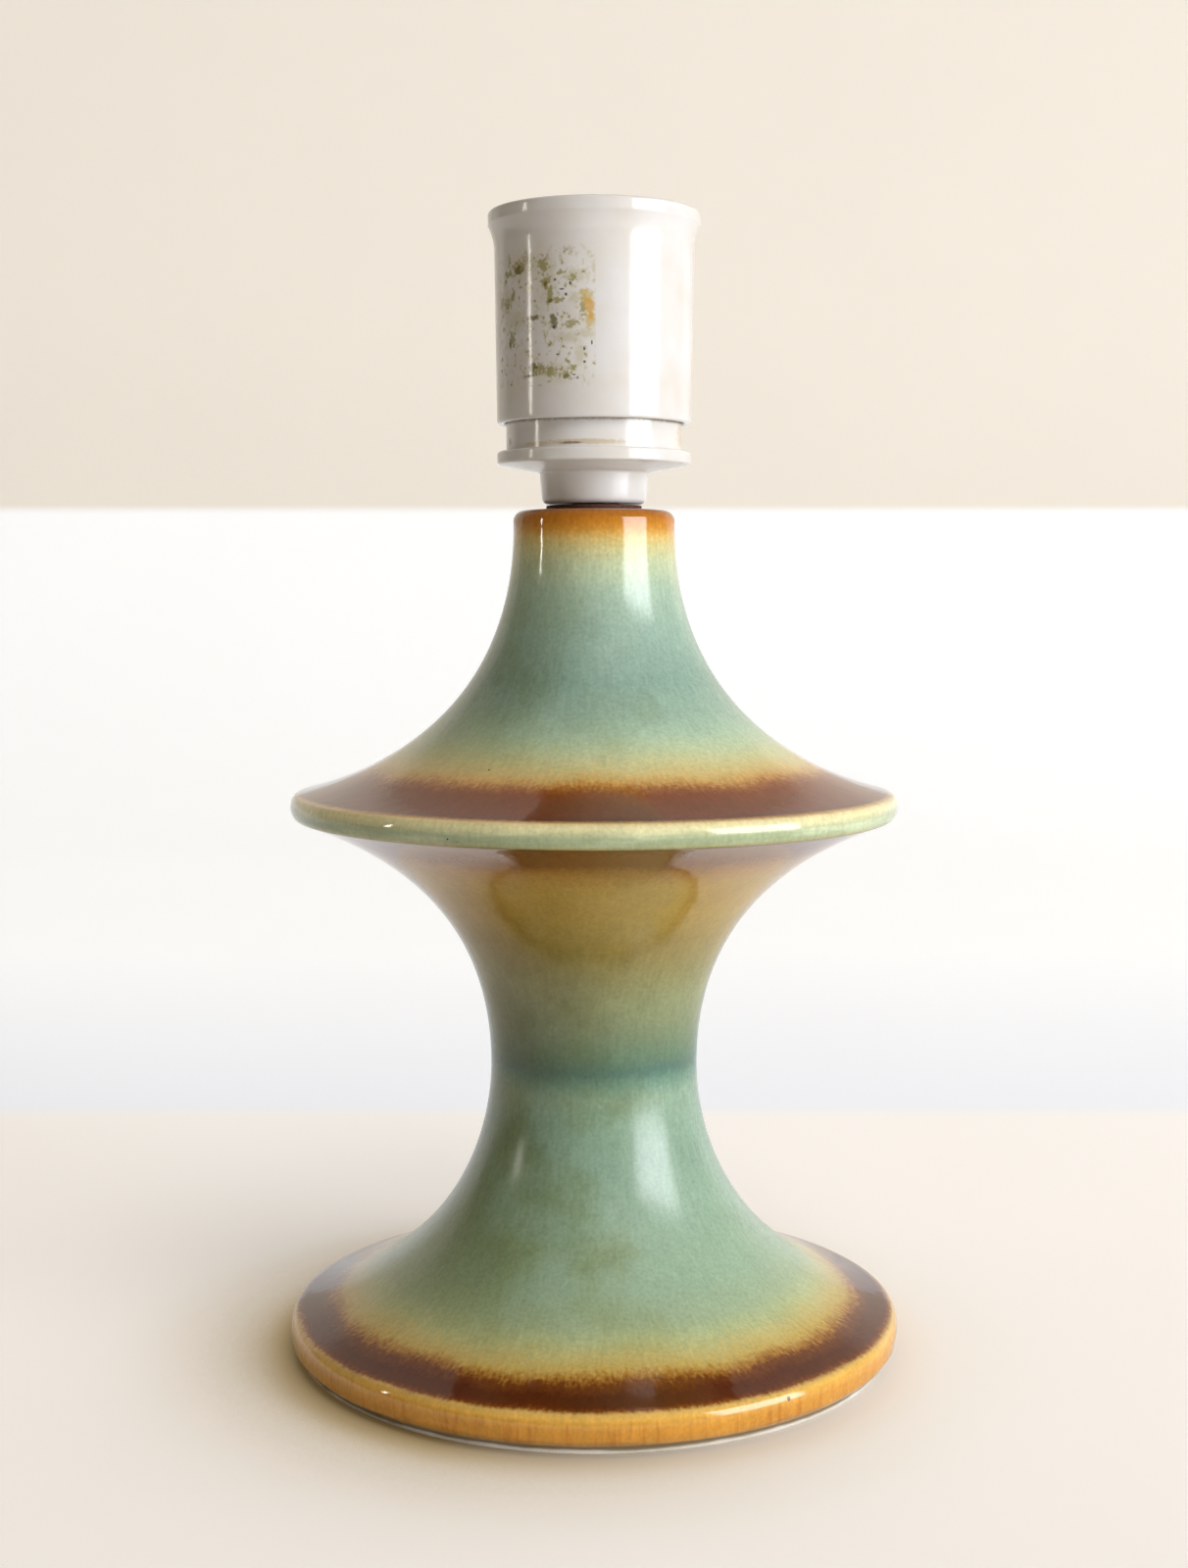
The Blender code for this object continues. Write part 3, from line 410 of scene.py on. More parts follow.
def glazedStoneware():
    # Stoneware, slip-cast and sprayed with runny glazes: glassy brown and amber bands fade into a
    # satin blue-green with a fine cloth-like speckle, and every band's edge is frayed where it ran.
    material, node, place, crumbs, waves, clouds, specks, flecks, drifts, grain, swell = newMaterial(
        "glazedStoneware",
        (0.9, 4.0), (14.0, 1.0), (11.0, 2.0), (0.7, 3.0), (1.8, 3.0), (17.0, 4.0), (0.5, 1.0), (3.2, 1.0),
    )
    share = node("SeparateXYZ", node("UVMap", uv_map="alongAndRound"), output=1)
    down = node("Math MULTIPLY", share, glazeLength)  # mm of glaze above this point
    flat = node("VectorMath MULTIPLY", place, (1, 1, 0))
    radius = node("VectorMath LENGTH", flat, output="Value")
    outward = node("VectorMath NORMALIZE", flat)
    wide = node("MapRange", radius, body["wideFrom"][0] * mm, body["wideFrom"][1] * mm)

    def streaks(reach, width, length, detail=2.0):
        # noise on a drum of that radius, stretched down the glaze: width and length in mm
        drum = node("VectorMath SCALE", {0: outward, "Scale": reach / width})
        drop = node("CombineXYZ", {2: node("Math DIVIDE", down, length)})
        spot = node("VectorMath ADD", drum, drop)
        return node("TexNoise", {"Vector": spot, "Scale": 1.0, "Detail": detail})

    def byPlace(stops):
        # stops by mm of glaze, as shares of its whole length
        return [(np.clip((spot + roofLength) / glazeLength, 0, 1), value) for spot, value in stops]

    fringe = node("Mix", {"Factor": wide, 2: streaks(19, 0.7, 1.8, 3.0), 3: streaks(56, 0.7, 1.8, 3.0)})
    fringe = node("Mix", {"Factor": 0.5, 2: fringe, 3: crumbs})
    fringe = node("Math SUBTRACT", fringe, 0.5)
    waves = node("Math SUBTRACT", waves, 0.5)
    reaches = [(spot, reach / glaze["fullFray"]) for spot, reach in glaze["fray"]]
    fray = node("ValToRGB", share, stops=byPlace(reaches))
    fray = node("Math MULTIPLY", fray, glaze["fullFray"])
    moved = node("Math MULTIPLY_ADD", fringe, fray, down)
    halfFray = node("Math MULTIPLY", fray, 0.5)
    moved = node("Math MULTIPLY_ADD", waves, halfFray, moved)
    moved = node("Math DIVIDE", moved, glazeLength)
    upper = node("ValToRGB", moved, stops=byPlace(glaze["upperColours"]))
    lower = node("ValToRGB", moved, stops=byPlace(glaze["lowerColours"]))
    join = (glaze["join"] + roofLength) / glazeLength
    isLower = node("Math GREATER_THAN", moved, join)
    colour = node("Mix", {"Factor": isLower, 6: upper, 7: lower}, **colourMix)
    # mottling: fine specks, short runs and soft clouds, each a little lighter or darker
    runs = node("Mix", {"Factor": wide, 2: streaks(19, 0.7, 4.0), 3: streaks(50, 0.8, 4.0)})
    mottle = 1.0
    for pattern, amount in ((specks, 0.45), (flecks, 0.2), (runs, 0.3), (clouds, 0.22)):
        centred = node("Math SUBTRACT", pattern, 0.5)
        mottle = node("Math MULTIPLY_ADD", centred, amount, mottle)
    shade = node("CombineColor", mottle, mottle, mottle)
    colour = node("Mix", {"Factor": 1.0, 6: colour, 7: shade}, **colourTimes)
    # the blue-green leans to olive in patches, and more on one side, the shaded one, where the extra olive is
    # painted shade; long pools and short streaks mark the rims
    side = node("VectorMath DOT_PRODUCT", outward, glaze["paintedShadeSide"], output="Value")
    # olive patches of the glaze, plus painted shade on the side away from the window
    cast = node("Math MULTIPLY_ADD", side, 0.23, drifts)
    flatter = node("VectorMath MULTIPLY", place, (1, 1, 9))
    pool = node("TexNoise", {"Vector": flatter, "Scale": 1 / (22 * mm), "Detail": 3.0})
    for key, pattern in (("olive", cast), ("pools", pool), ("rimStreaks", streaks(58, 1.0, 9.0, 3.0))):
        mark = glaze[key]
        patches = node("MapRange", pattern, mark["ends"][0], mark["ends"][1])
        where = node("ValToRGB", share, stops=byPlace(mark["where"]))
        patches = node("Math MULTIPLY", patches, where)
        colour = node("Mix", {"Factor": patches, 6: colour, 7: mark["tint"]}, **colourTimes)
    pitted = 0.0
    for *spot, size in glaze["pits"]:
        gap = node("VectorMath DISTANCE", place, Vector(spot) * mm, output="Value")
        inPit = node("Math LESS_THAN", gap, size * mm)
        pitted = node("Math MAXIMUM", pitted, inPit)
    colour = node("Mix", {"Factor": pitted, 6: colour, 7: glaze["pitColour"]}, **colourMix)
    gloss = node("ValToRGB", share, stops=byPlace(glaze["roughness"]))
    centred = node("Math SUBTRACT", clouds, 0.5)
    gloss = node("Math MULTIPLY_ADD", centred, 0.05, gloss)
    # orange peel: a slow ripple a few mm across and fine grain, with the pits sunk in it
    ripple = node("Math MULTIPLY_ADD", grain, 0.05, swell)
    ripple = node("Math MULTIPLY_ADD", pitted, -4.0, ripple)
    peel = node("Bump", {"Height": ripple, "Strength": 1.0, "Distance": 0.03 * mm})
    return finish(material, {"Base Color": colour, "Roughness": gloss, "IOR": 1.54, "Normal": peel})


def bareStoneware():
    # Unglazed fired clay on the foot and inside: pale, matt and gritty with a little kiln dust, and
    # a dark line of painted shade on the foot ring, where it goes in under the glazed rim
    material, node, place, grit, stain = newMaterial("bareStoneware", (0.35, 3.0), (9, 2.0))
    clouds = node("Math MULTIPLY", stain, 0.65)
    amount = node("Math MULTIPLY_ADD", grit, 0.35, clouds)
    colour = node("ValToRGB", amount, stops=[(0.3, "#c9c1b2"), (0.5, "#ddd6c8"), (0.7, "#ebe5da")])
    # painted shade: the foot ring darkens just above the table, where the glazed rim overhangs it
    low, full, end = body["underRimShade"]
    level = node("SeparateXYZ", place, output=2)
    level = node("Math MULTIPLY_ADD", stain, -0.8 * mm, level)
    above = node("MapRange", level, low * mm, full * mm, 0.0, 0.85)
    below = node("Math LESS_THAN", level, end * mm)
    shadedUnderRim = node("Math MULTIPLY", above, below)
    colour = node("Mix", {"Factor": shadedUnderRim, 6: colour, 7: "#735d2b"}, **colourMix)
    bump = node("Bump", {"Height": grit, "Strength": 0.6, "Distance": 0.1 * mm})
    return finish(material, {"Base Color": colour, "Roughness": 0.85, "Normal": bump})


def makeBody():
    profile = np.concatenate([outside, foot, inside])
    row = np.arange(len(profile))
    angle = np.linspace(0, tau, body["stepsRound"], endpoint=False)
    height = profile[:, 1:2]
    isGlazed = (row < len(outside))[:, None]
    # hand-made unevenness, always inwards: two slow waves round the body that drift with height
    slow = (np.cos(2 * angle + height / 30) + np.cos(3 * angle - height / 22) - 2) / 4
    shift = body["unevenness"] * slow * isGlazed * (profile[:, :1] > body["bore"] + 1)
    # the glaze ends in an uneven bead above the foot
    along = np.append(glazeShare, np.ones(len(profile) - len(outside)))
    edge = glazeLength - body["beadAbove"] + 0.35 * np.cos(5 * angle) + 0.25 * np.cos(11 * angle + 1)
    edge = edge + 0.2 * np.cos(23 * angle)
    bead = np.exp(-(((along[:, None] * glazeLength - edge) / body["beadWidth"]) ** 2)) * isGlazed
    points = turned(profile, body["stepsRound"], shift + body["glazeBead"] * bead)
    bare = (row >= len(outside) - 1).astype(int)
    piece = addGrid("glazedBody", points, glazedStoneware(), bareStoneware(), along=along, rowMaterial=bare)
    start = (0, body["waistRadius"], body["holeHeight"])
    bore(piece, body["holeRadius"], start, body["baseRadius"], (0, 1, 0), 48)
    dress(piece, "ceramic_body")
    print("body made")


makeBody()


# Lampholder
plastic = {
    "colour": "#eae8e5", "aged": "#e4dfd6", "radius": 19.5,
    # remains of old lacquer on the sleeve: colour, how much it covers, how frayed and how soft its edge is,
    # and each dab's degrees round from the front, height, half width and half height in mm
    "sleeveStains": [
        {"colour": "#cfc8a8", "cover": 0.6, "fray": 2.4, "soft": 0.7, "loose": 0.6, "dabs": [
            (-50, 207.0, 2.6, 1.6), (-15, 203.0, 2.6, 0.9), (-7.5, 199.8, 1.0, 1.9), (-19, 194.8, 1.6, 0.9),
            (-10, 214.6, 2.4, 1.2), (-11, 210.2, 1.0, 1.2), (-4, 203.6, 1.6, 0.9), (-44, 217.4, 4.4, 2.6),
            (-27, 214.0, 1.8, 4.6), (0.2, 216.0, 0.4, 1.3), (-60, 210.6, 2.6, 2.0), (-24, 196.6, 3.0, 1.3),
        ]},
        {"colour": "#9f9657", "cover": 0.8, "fray": 4.2, "soft": 0.45, "loose": 0.69, "dabs": [
            (-56, 218.8, 0.5, 1.1), (-40, 218.8, 1.0, 1.7), (-57, 215.8, 1.4, 0.6), (-29.5, 216.9, 1.0, 1.4),
            (-15, 219.4, 1.1, 0.7), (-28, 213.5, 0.9, 1.0), (-25.4, 211.0, 0.6, 1.9), (-65, 210.8, 1.2, 1.1),
            (-52.6, 211.9, 0.5, 1.1), (-57.8, 210.0, 0.9, 1.0), (-54, 203.4, 1.1, 1.4),
            (-12, 205.4, 1.2, 0.7), (-25.4, 196.5, 1.1, 0.9), (-16, 195.9, 1.3, 0.7), (-12, 214.0, 0.6, 0.7),
            (-19, 215.2, 0.9, 0.4), (-20, 210.0, 0.9, 0.5), (-6, 208.6, 0.5, 1.8), (-33, 197.2, 2.6, 0.8),
            (-48, 216.8, 2.0, 1.0),
        ]},
        {"colour": "#74682f", "cover": 0.85, "fray": 2.6, "soft": 0.4, "dabs": [
            (-47.5, 216.3, 0.9, 0.8), (-40, 219.6, 0.5, 0.6), (-37, 207.0, 1.4, 0.5),
            (-39.4, 205.6, 0.5, 0.8), (-23, 206.2, 0.7, 1.3), (-37, 197.6, 0.9, 0.8), (-40, 196.0, 1.3, 0.3),
            (-16, 219.3, 0.5, 0.4), (-28, 213.2, 0.4, 0.5), (-25, 209.8, 0.4, 0.5), (-56, 202.4, 0.4, 0.6),
            (-16, 195.6, 0.6, 0.35),
        ]},
        {"colour": "#d3bd78", "cover": 0.8, "fray": 1.6, "soft": 0.5, "dabs": [
            (-3.8, 210.2, 1.2, 1.0), (-2.2, 206.2, 1.0, 1.7), (-5.0, 211.2, 1.2, 0.7),
        ]},
        {"colour": "#dcae5a", "cover": 0.85, "fray": 1.6, "soft": 0.5, "dabs": [
            (-2.4, 208.7, 0.9, 1.3), (-4.0, 209.6, 0.6, 0.6), (-1.6, 207.0, 0.5, 0.8),
        ]},
        {"colour": "#2e2713", "cover": 0.85, "fray": 0.9, "soft": 0.35, "dabs": [
            (-22.2, 213.8, 0.22, 0.25), (-13.3, 213.1, 0.2, 0.3), (-15.8, 211.0, 0.26, 0.3),
            (-18.2, 212.0, 0.5, 0.15), (-39, 204.5, 0.22, 0.3), (-39, 201.6, 0.22, 0.3),
            (-1.2, 201.9, 0.15, 0.4), (-5.4, 200.7, 0.22, 0.3), (-5.2, 198.3, 0.26, 0.26),
            (-9.2, 195.3, 0.26, 0.26), (-20.8, 199.8, 0.35, 0.15), (-67, 199.9, 0.4, 0.45),
            (-67.7, 197.7, 0.4, 0.4), (-68.5, 194.7, 0.35, 0.4), (-56, 194.7, 0.3, 0.3),
            (-32.2, 194.1, 0.5, 0.18), (-38.4, 194.1, 0.3, 0.25), (-23, 204.9, 0.35, 0.35),
            (-11.5, 195.9, 0.4, 0.15), (-40, 196.0, 0.6, 0.16),
        ]},
    ],
    "stainPatch": (-25.0, 0.4, 193.2, 220.6),  # left and right edge round the sleeve, bottom and top, in mm
    # on the cap's collar: a brown line over the flange, yellow at the right, and a dark ring under the sleeve
    # that is both dirt and painted shade of the gap
    "collarStains": [
        {"colour": "#c9ae7c", "cover": 0.55, "fray": 1.4, "soft": 0.5, "dabs": [
            (-6, 183.4, 9.0, 0.5), (-40, 183.2, 4.0, 0.4), (78, 185.4, 3.0, 2.4),
        ]},
        {"colour": "#6b5738", "cover": 0.7, "fray": 1.2, "soft": 0.4, "dabs": [
            (-71, 184.0, 0.8, 0.8), (-14, 183.2, 2.4, 0.25),
        ]},
        # dark ring all round under the sleeve's foot: dirt and painted shade of the gap between sleeve and
        # collar
        {"colour": "#6b5738", "cover": 0.7, "fray": 0.5, "soft": 0.3, "dabs": [(0, 189.0, 300.0, 1.3)]},
    ],
}


def whiteThermoset(name, stains=(), patch=(-99.0, 99.0, 0.0, 230.0)):
    # Urea thermoset, compression-moulded: hard, glossy and faintly rippled, yellowed and stained with age
    material, node, place, crumbs, clouds, grain, swell = newMaterial(
        name, (0.7, 4.0), (9.0, 2.0), (0.6, 1.0), (2.4, 1.0)
    )
    x, y, z = (node("SeparateXYZ", place, output=axis) for axis in range(3))
    back = node("Math MULTIPLY", y, -1.0)
    turn = node("Math ARCTAN2", x, back)  # round from the front, right is positive
    arc = node("Math MULTIPLY", turn, plastic["radius"])
    height = node("Math DIVIDE", z, mm)
    skin = node("CombineXYZ", arc, height)  # the surface unrolled, in mm
    aged = node("ValToRGB", clouds, stops=[(0.35, 0.0), (0.75, 1.0)])
    colour = node("Mix", {"Factor": aged, 6: plastic["colour"], 7: plastic["aged"]}, **colourMix)
    # stains keep to their patch: crisp at its right edge, thinning out over 3 mm at the others
    left, right, bottom, top = patch
    within = 1.0
    for measure, limit, inner in ((arc, right, -0.2), (arc, left, 3), (height, bottom, 3), (height, top, -3)):
        edge = node("MapRange", measure, limit, limit + inner)
        within = node("Math MULTIPLY", within, edge)
    for stain in stains:
        nearest = 9.0
        for degrees, level, halfWidth, halfHeight in stain["dabs"]:
            # distance from the dab's middle, 1 at the edge of its ellipse
            middle = np.radians(degrees) * plastic["radius"]
            start = (-middle / halfWidth, -level / halfHeight, 0)
            scale = (1 / halfWidth, 1 / halfHeight, 0)
            away = node("VectorMath MULTIPLY_ADD", skin, scale, start)
            away = node("VectorMath LENGTH", away, output="Value")
            nearest = node("Math MINIMUM", nearest, away)
        # the edge of each dab is broken up by crumbs under 1 mm across, with loose crumbs between the dabs
        if "loose" in stain:
            sparse = node("TexNoise", {"Vector": place, "Scale": 1 / (1.3 * mm), "Detail": 3.0})
            sparse = node("MapRange", sparse, stain["loose"], stain["loose"] - 0.1, 0.3, 2.2)
            nearest = node("Math MINIMUM", nearest, sparse)
        broken = node("Math MULTIPLY_ADD", crumbs, stain["fray"], nearest)
        faint, full = (1 + stain["fray"] / 2 + side * stain["soft"] for side in (1, -1))
        cover = node("MapRange", broken, faint, full, 0.0, stain["cover"], **smoothStep)
        cover = node("Math MULTIPLY", cover, within)
        colour = node("Mix", {"Factor": cover, 6: colour, 7: stain["colour"]}, **colourMix)
    gloss = node("Math MULTIPLY_ADD", clouds, 0.06, 0.1)
    ripple = node("Math MULTIPLY_ADD", grain, 0.25, swell)
    bump = node("Bump", {"Height": ripple, "Strength": 1.0, "Distance": 0.03 * mm})
    return finish(material, {"Base Color": colour, "Roughness": gloss, "IOR": 1.55, "Normal": bump})


def plainMetal(name, colours, roughness, grain, lines, bumpDepth):
    # colours are the clean and the dull tone; grain in mm is the size of the dulled patches, and
    # lines is how many times wider than high the tool's marks are, as turning and plating leave them
    material, node, place, patches = newMaterial(name, (grain, 3.0))
    stretched = node("VectorMath MULTIPLY", place, (1, 1, lines))
    marks = node("TexNoise", {"Vector": stretched, "Scale": 1 / (0.8 * mm), "Detail": 3.0})
    colour = node("ValToRGB", patches, stops=[(0.35, colours[0]), (0.72, colours[1])])
    rough = node("Math MULTIPLY_ADD", marks, 0.2, roughness - 0.1)
    bump = node("Bump", {"Height": marks, "Strength": 0.5, "Distance": bumpDepth * mm})
    return finish(material, {"Base Color": colour, "Metallic": 1.0, "Roughness": rough, "Normal": bump})


def mattFinish(name, patch, stops, roughness, strength, depth):
    # one noise gives both the tone and the bump; patch and depth in mm
    material, node, _, noise = newMaterial(name, (patch, 4.0))
    colour = node("ValToRGB", noise, stops=stops)
    bump = node("Bump", {"Height": noise, "Strength": strength, "Distance": depth * mm})
    return finish(material, {"Base Color": colour, "Roughness": roughness, "Normal": bump})


def glazedPorcelain():
    # Dust-pressed porcelain under a thin clear glaze: cool white with a few iron specks
    material, node, _, clouds, iron = newMaterial("glazedPorcelain", (5, 2.0), (0.45, 1.0))
    colour = node("ValToRGB", clouds, stops=[(0.3, "#e2ddd2"), (0.7, "#f0ede6")])
    speck = node("Math GREATER_THAN", iron, 0.76)
    colour = node("Mix", {"Factor": speck, 6: colour, 7: "#8c7d68"}, **colourMix)
    bump = node("Bump", {"Height": clouds, "Strength": 0.4, "Distance": 0.1 * mm})
    return finish(material, {"Base Color": colour, "Roughness": 0.12, "IOR": 1.52, "Normal": bump})


sleevePlastic = whiteThermoset("whiteThermosetSleeve", plastic["sleeveStains"], plastic["stainPatch"])
capPlastic = whiteThermoset("whiteThermosetCap", plastic["collarStains"])
plainPlastic = whiteThermoset("whiteThermoset")
# Zinc on turned steel is a cool grey that dulls in patches, nickel on rolled brass is brighter and lets warm
# brass through where it is worn, and bare pressed brass tarnishes to brown.
zincPlatedSteel = plainMetal("zincPlatedSteel", ("#cfd2d6", "#a9a89c"), 0.34, 2.0, 4, 0.01)
nickelPlatedBrass = plainMetal("nickelPlatedBrass", ("#d5cdbd", "#b39f78"), 0.24, 4.0, 8, 0.006)
brass = plainMetal("brass", ("#d9b768", "#9a7a40"), 0.3, 2.5, 3, 0.008)
# Vulcanised fibre: pressed cotton paper, red-brown and matt, darker where it took up damp
fibre = mattFinish("redFibre", 0.5, [(0.3, "#402119"), (0.7, "#6f4433")], 0.78, 0.5, 0.05)
# Moulded rubber: nearly black, matt, dusted grey in patches a few mm across
rubber = mattFinish("blackRubber", 2.5, [(0.35, "#171615"), (0.75, "#35322f")], 0.75, 0.4, 0.06)
porcelain = glazedPorcelain()

sleeve = {
    "wall": 1.45, "taper": 0.45, "taperFrom": 17.0, "rimHeight": 2.5, "flareHeight": 5.0, "rimWidth": 1.25,
    "round": 0.6, "footRound": 0.5, "flareShares": (0.35, 0.42, 0.70), "steps": 160,
    "threadFrom": 1.2, "threadTo": 13.0, "pitch": 2.6, "threadDepth": 0.45, "threadFade": 1.0,
}


def makeSleeve():
    # outside: even wall, then a flare and a straight rim; inside: a thread over the foot, then a slow taper
    bottom, top, rimRadius = span("holder_sleeve")
    bodyRadius = rimRadius - sleeve["rimWidth"]
    footRadius = bodyRadius - sleeve["taper"]
    boreRadius = footRadius - sleeve["wall"]
    rimFoot = top - sleeve["rimHeight"]
    flareFoot = (bodyRadius, rimFoot - sleeve["flareHeight"])
    curve = trumpet(flareFoot, (rimRadius, rimFoot), sleeve["flareShares"], 20)
    edge, footEdge = sleeve["round"], sleeve["footRound"]
    corners = [(boreRadius + sleeve["taper"], top, edge), (rimRadius, top, edge)]
    corners += [(radius, height, 0) for radius, height in curve[::-1]]
    corners += [(footRadius, bottom, footEdge), (boreRadius, bottom, footEdge)]
    corners += [(boreRadius, bottom + sleeve["taperFrom"], 0)]
    profile = roundedOutline(corners, 8, 0.33)
    levels = bottom + sleeve["threadFrom"], bottom + sleeve["threadTo"]
    groove = threadShift(profile, sleeve, levels, (0, boreRadius + 0.2))
    piece = addGrid("sleeveMoulding", turned(profile, sleeve["steps"], groove), sleevePlastic)
    dress(piece, "holder_sleeve", "sleeve")


cap = {
    "neckRadius": 10.9, "neckTaper": 0.5, "neckHeight": 6.3, "neckRound": 1.2, "floor": 5.0, "stop": 1.5,
    "stopWidth": 1.3, "flangeSlope": 1.6, "flangeEdge": 2.5, "flangeRound": 0.5, "collarWall": 1.8,
    "bore": 5.3, "screwHole": 1.7, "screwReach": 10.75, "screwBite": 3.9, "setScrewHole": 2.05,
    "setScrewLevel": 3.15, "guardGap": 1.0, "steps": 144,
    "threadAbove": 7.0, "threadBelow": 0.6, "pitch": 2.6, "threadDepth": -0.5, "threadFade": 1.0,
}


def boreForScrews(piece, level, length):
    # holes for the two fixing screws, front and rear, upwards from that level
    for sign in (-1, 1):
        bore(piece, cap["screwHole"], (0, sign * cap["screwReach"], level), length)


def makeCap():
    # neck, sloping flange and threaded collar, with the bore and the stop for the threaded tube
    bottom, top, flangeRadius = span("holder_cap")
    neckTop = bottom + cap["neckHeight"]
    edgeLow = neckTop + cap["flangeSlope"]
    edgeTop = edgeLow + cap["flangeEdge"]
    floor = neckTop + cap["floor"]
    collar = span("shell_guard")[2] + cap["guardGap"]
    hollow, edge, bottomBore = collar - cap["collarWall"], cap["flangeRound"], cap["bore"]
    stopBore, stopFoot = cap["bore"] - cap["stopWidth"], floor - cap["stop"]
    corners = [
        (hollow, top, 0.3), (collar, top, edge), (collar, edgeTop, 0.25), (flangeRadius, edgeTop, edge),
        (flangeRadius, edgeLow, edge), (cap["neckRadius"], neckTop, edge),
        (cap["neckRadius"] - cap["neckTaper"], bottom, cap["neckRound"]), (bottomBore, bottom, 0.3),
        (bottomBore, stopFoot, 0), (stopBore, stopFoot, 0), (stopBore, floor, 0.2), (hollow, floor, edge),
    ]
    profile = roundedOutline(corners, 8, 0.33)
    levels = edgeTop + cap["threadAbove"], top - cap["threadBelow"]
    groove = threadShift(profile, cap, levels, (collar - 0.2, collar + 0.2))
    piece = addGrid("capMoulding", turned(profile, cap["steps"], groove), capPlastic)
    boreForScrews(piece, floor - cap["screwBite"], cap["screwBite"] + 2)
    start = (0, cap["bore"] - 0.3, bottom + cap["setScrewLevel"])
    bore(piece, cap["setScrewHole"], start, cap["neckRadius"], (0, 1, 0), 40)
    dress(piece, "holder_cap")


guard = {"round": 0.5, "wall": 2.5, "lip": 0.8, "rise": 1.4, "lipSheet": 0.6, "lipRoom": 0.25, "steps": 144}


def makeGuard():
    # insulating ring on the collar, with a shoulder inside its top for the shell's lip
    bottom, top, radius = span("shell_guard")
    boreRadius, edge = radius - guard["wall"], guard["round"]
    mouth = boreRadius + guard["lip"]
    shoulder = top - guard["rise"] - guard["lipSheet"] - guard["lipRoom"]
    corners = [
        (mouth, top, edge), (radius, top, edge), (radius, bottom, 0.2), (boreRadius, bottom, 0.2),
        (boreRadius, shoulder, 0.15), (mouth, shoulder, 0),
    ]
    points = turned(roundedOutline(corners, 8), guard["steps"])
    dress(addGrid("guardRing", points, plainPlastic), "shell_guard")


shell = {
    "bore": 13.3, "sheet": 0.4, "lipSheet": 0.6, "floor": 0.8, "opening": 8.2, "rivetHole": 1.2, "steps": 144,
    "threadAbove": 2.2, "threadBelow": 1.0, "pitch": 3.629, "threadDepth": -1.0, "threadFade": 1.6,
}


def makeShell():
    # rolled screw shell: one round thread on both sides of a thin sheet, a floor and an outturned lip
    bottom, top, lipRadius = span("screw_shell")
    inner, outer, opening = shell["bore"], shell["bore"] + shell["sheet"], shell["opening"]
    lipFoot, floor = top - shell["lipSheet"], bottom + shell["floor"]
    corners = [
        (inner, top, 0.5), (lipRadius, top, 0.25), (lipRadius, lipFoot, 0.2), (outer, lipFoot, 0.1),
        (outer, bottom, 0.6), (opening, bottom, 0), (opening, floor, 0.2), (inner, floor, 0.4),
    ]
    profile = roundedOutline(corners, 6, 0.22)
    levels = bottom + shell["threadAbove"], top - shell["threadBelow"]
    groove = threadShift(profile, shell, levels, (inner - 0.2, outer + 0.2))
    piece = addGrid("threadedShell", turned(profile, shell["steps"], groove), nickelPlatedBrass)
    boreForScrews(piece, bottom - 1, 3)
    bore(piece, shell["rivetHole"], (cap["screwReach"], 0, bottom - 1), 3)
    dress(piece, "screw_shell")


insert = {
    "round": 0.6, "wellRound": 0.3, "well": 6.0, "wellHeight": 4.0, "chamberWidth": 6.6, "innerEnd": 3.7,
    "roof": 5.65, "rivets": (-5.7, 10.75), "rivetHole": 1.2, "steps": 128,
}


def makeInsert():
    # porcelain puck with a wiring well below and a chamber for each terminal
    bottom, top, radius = span("insulator")
    edge, wellEdge = insert["round"], insert["wellRound"]
    well, wellTop = insert["well"], bottom + insert["wellHeight"]
    corners = [(0, top, 0), (radius, top, edge), (radius, bottom, edge)]
    corners += [(well, bottom, wellEdge), (well, wellTop, wellEdge), (0, wellTop, 0)]
    points = turned(roundedOutline(corners, 6, 1.0, closed=False), insert["steps"])
    piece = addGrid("porcelainInsert", points, porcelain, closeRows=False)
    half = insert["chamberWidth"] / 2
    for sign in (-1, 1):
        left, right = sorted((sign * insert["innerEnd"], sign * (radius + 2)))
        slotCut(piece, (left, -half, bottom - 2), (right, half, top - insert["roof"]))
    for reach in insert["rivets"]:
        bore(piece, insert["rivetHole"], (reach, 0, top - 8), 10)
    boreForScrews(piece, bottom - 2, 18)
    dress(piece, "insulator")


# Rings on the threaded tube: name, CAD node, rounding in mm, material and its slot
rings = [
    ("fibreWasher", "fibre_washer", 0.12, fibre, "red_fibre"),
    ("neckGasket", "neck_gasket", 0.35, rubber, "black_rubber"),
    ("clampWasher", "clamp_washer", 0.2, zincPlatedSteel, "zinc_steel"),
    ("lockWasher", "lock_washer", 0.2, zincPlatedSteel, "zinc_steel"),
]
ringBore = 5.3
lockSplit = 1.6


def makeRings():
    for name, node, edge, material, slot in rings:
        bottom, top, radius = span(node)
        corners = [(ringBore, top), (radius, top), (radius, bottom), (ringBore, bottom)]
        profile = roundedOutline([(*corner, edge) for corner in corners], 5, 1.0)
        piece = addGrid(name, turned(profile, 96), material)
        if node == "lock_washer":
            slotCut(piece, (ringBore - 0.3, -lockSplit / 2, bottom - 1), (radius + 1, lockSplit / 2, top + 1))
        dress(piece, node)


tube = {"bore": 3.9, "chamfer": 0.4, "steps": 64, "pitch": 1.0, "threadDepth": -0.55, "threadFade": 0.6}


def makeTube():
    # the threaded tube through the neck: a fine thread all the way between its chamfers
    bottom, top, radius = span("threaded_nipple")
    hole, face = tube["bore"], radius - tube["chamfer"]
    low, high = bottom + tube["chamfer"], top - tube["chamfer"]
    corners = [(hole, top), (face, top), (radius, high), (radius, low), (face, bottom), (hole, bottom)]
    profile = roundedOutline([(*corner, 0) for corner in corners], 2, 0.14)
    groove = threadShift(profile, tube, (low, high), (radius - 0.05, radius + 0.05))
    piece = addGrid("threadedTube", turned(profile, tube["steps"], groove), zincPlatedSteel)
    dress(piece, "threaded_nipple")


nut = {"flats": 14.0, "bore": 5.3, "slope": 30, "steps": 120}


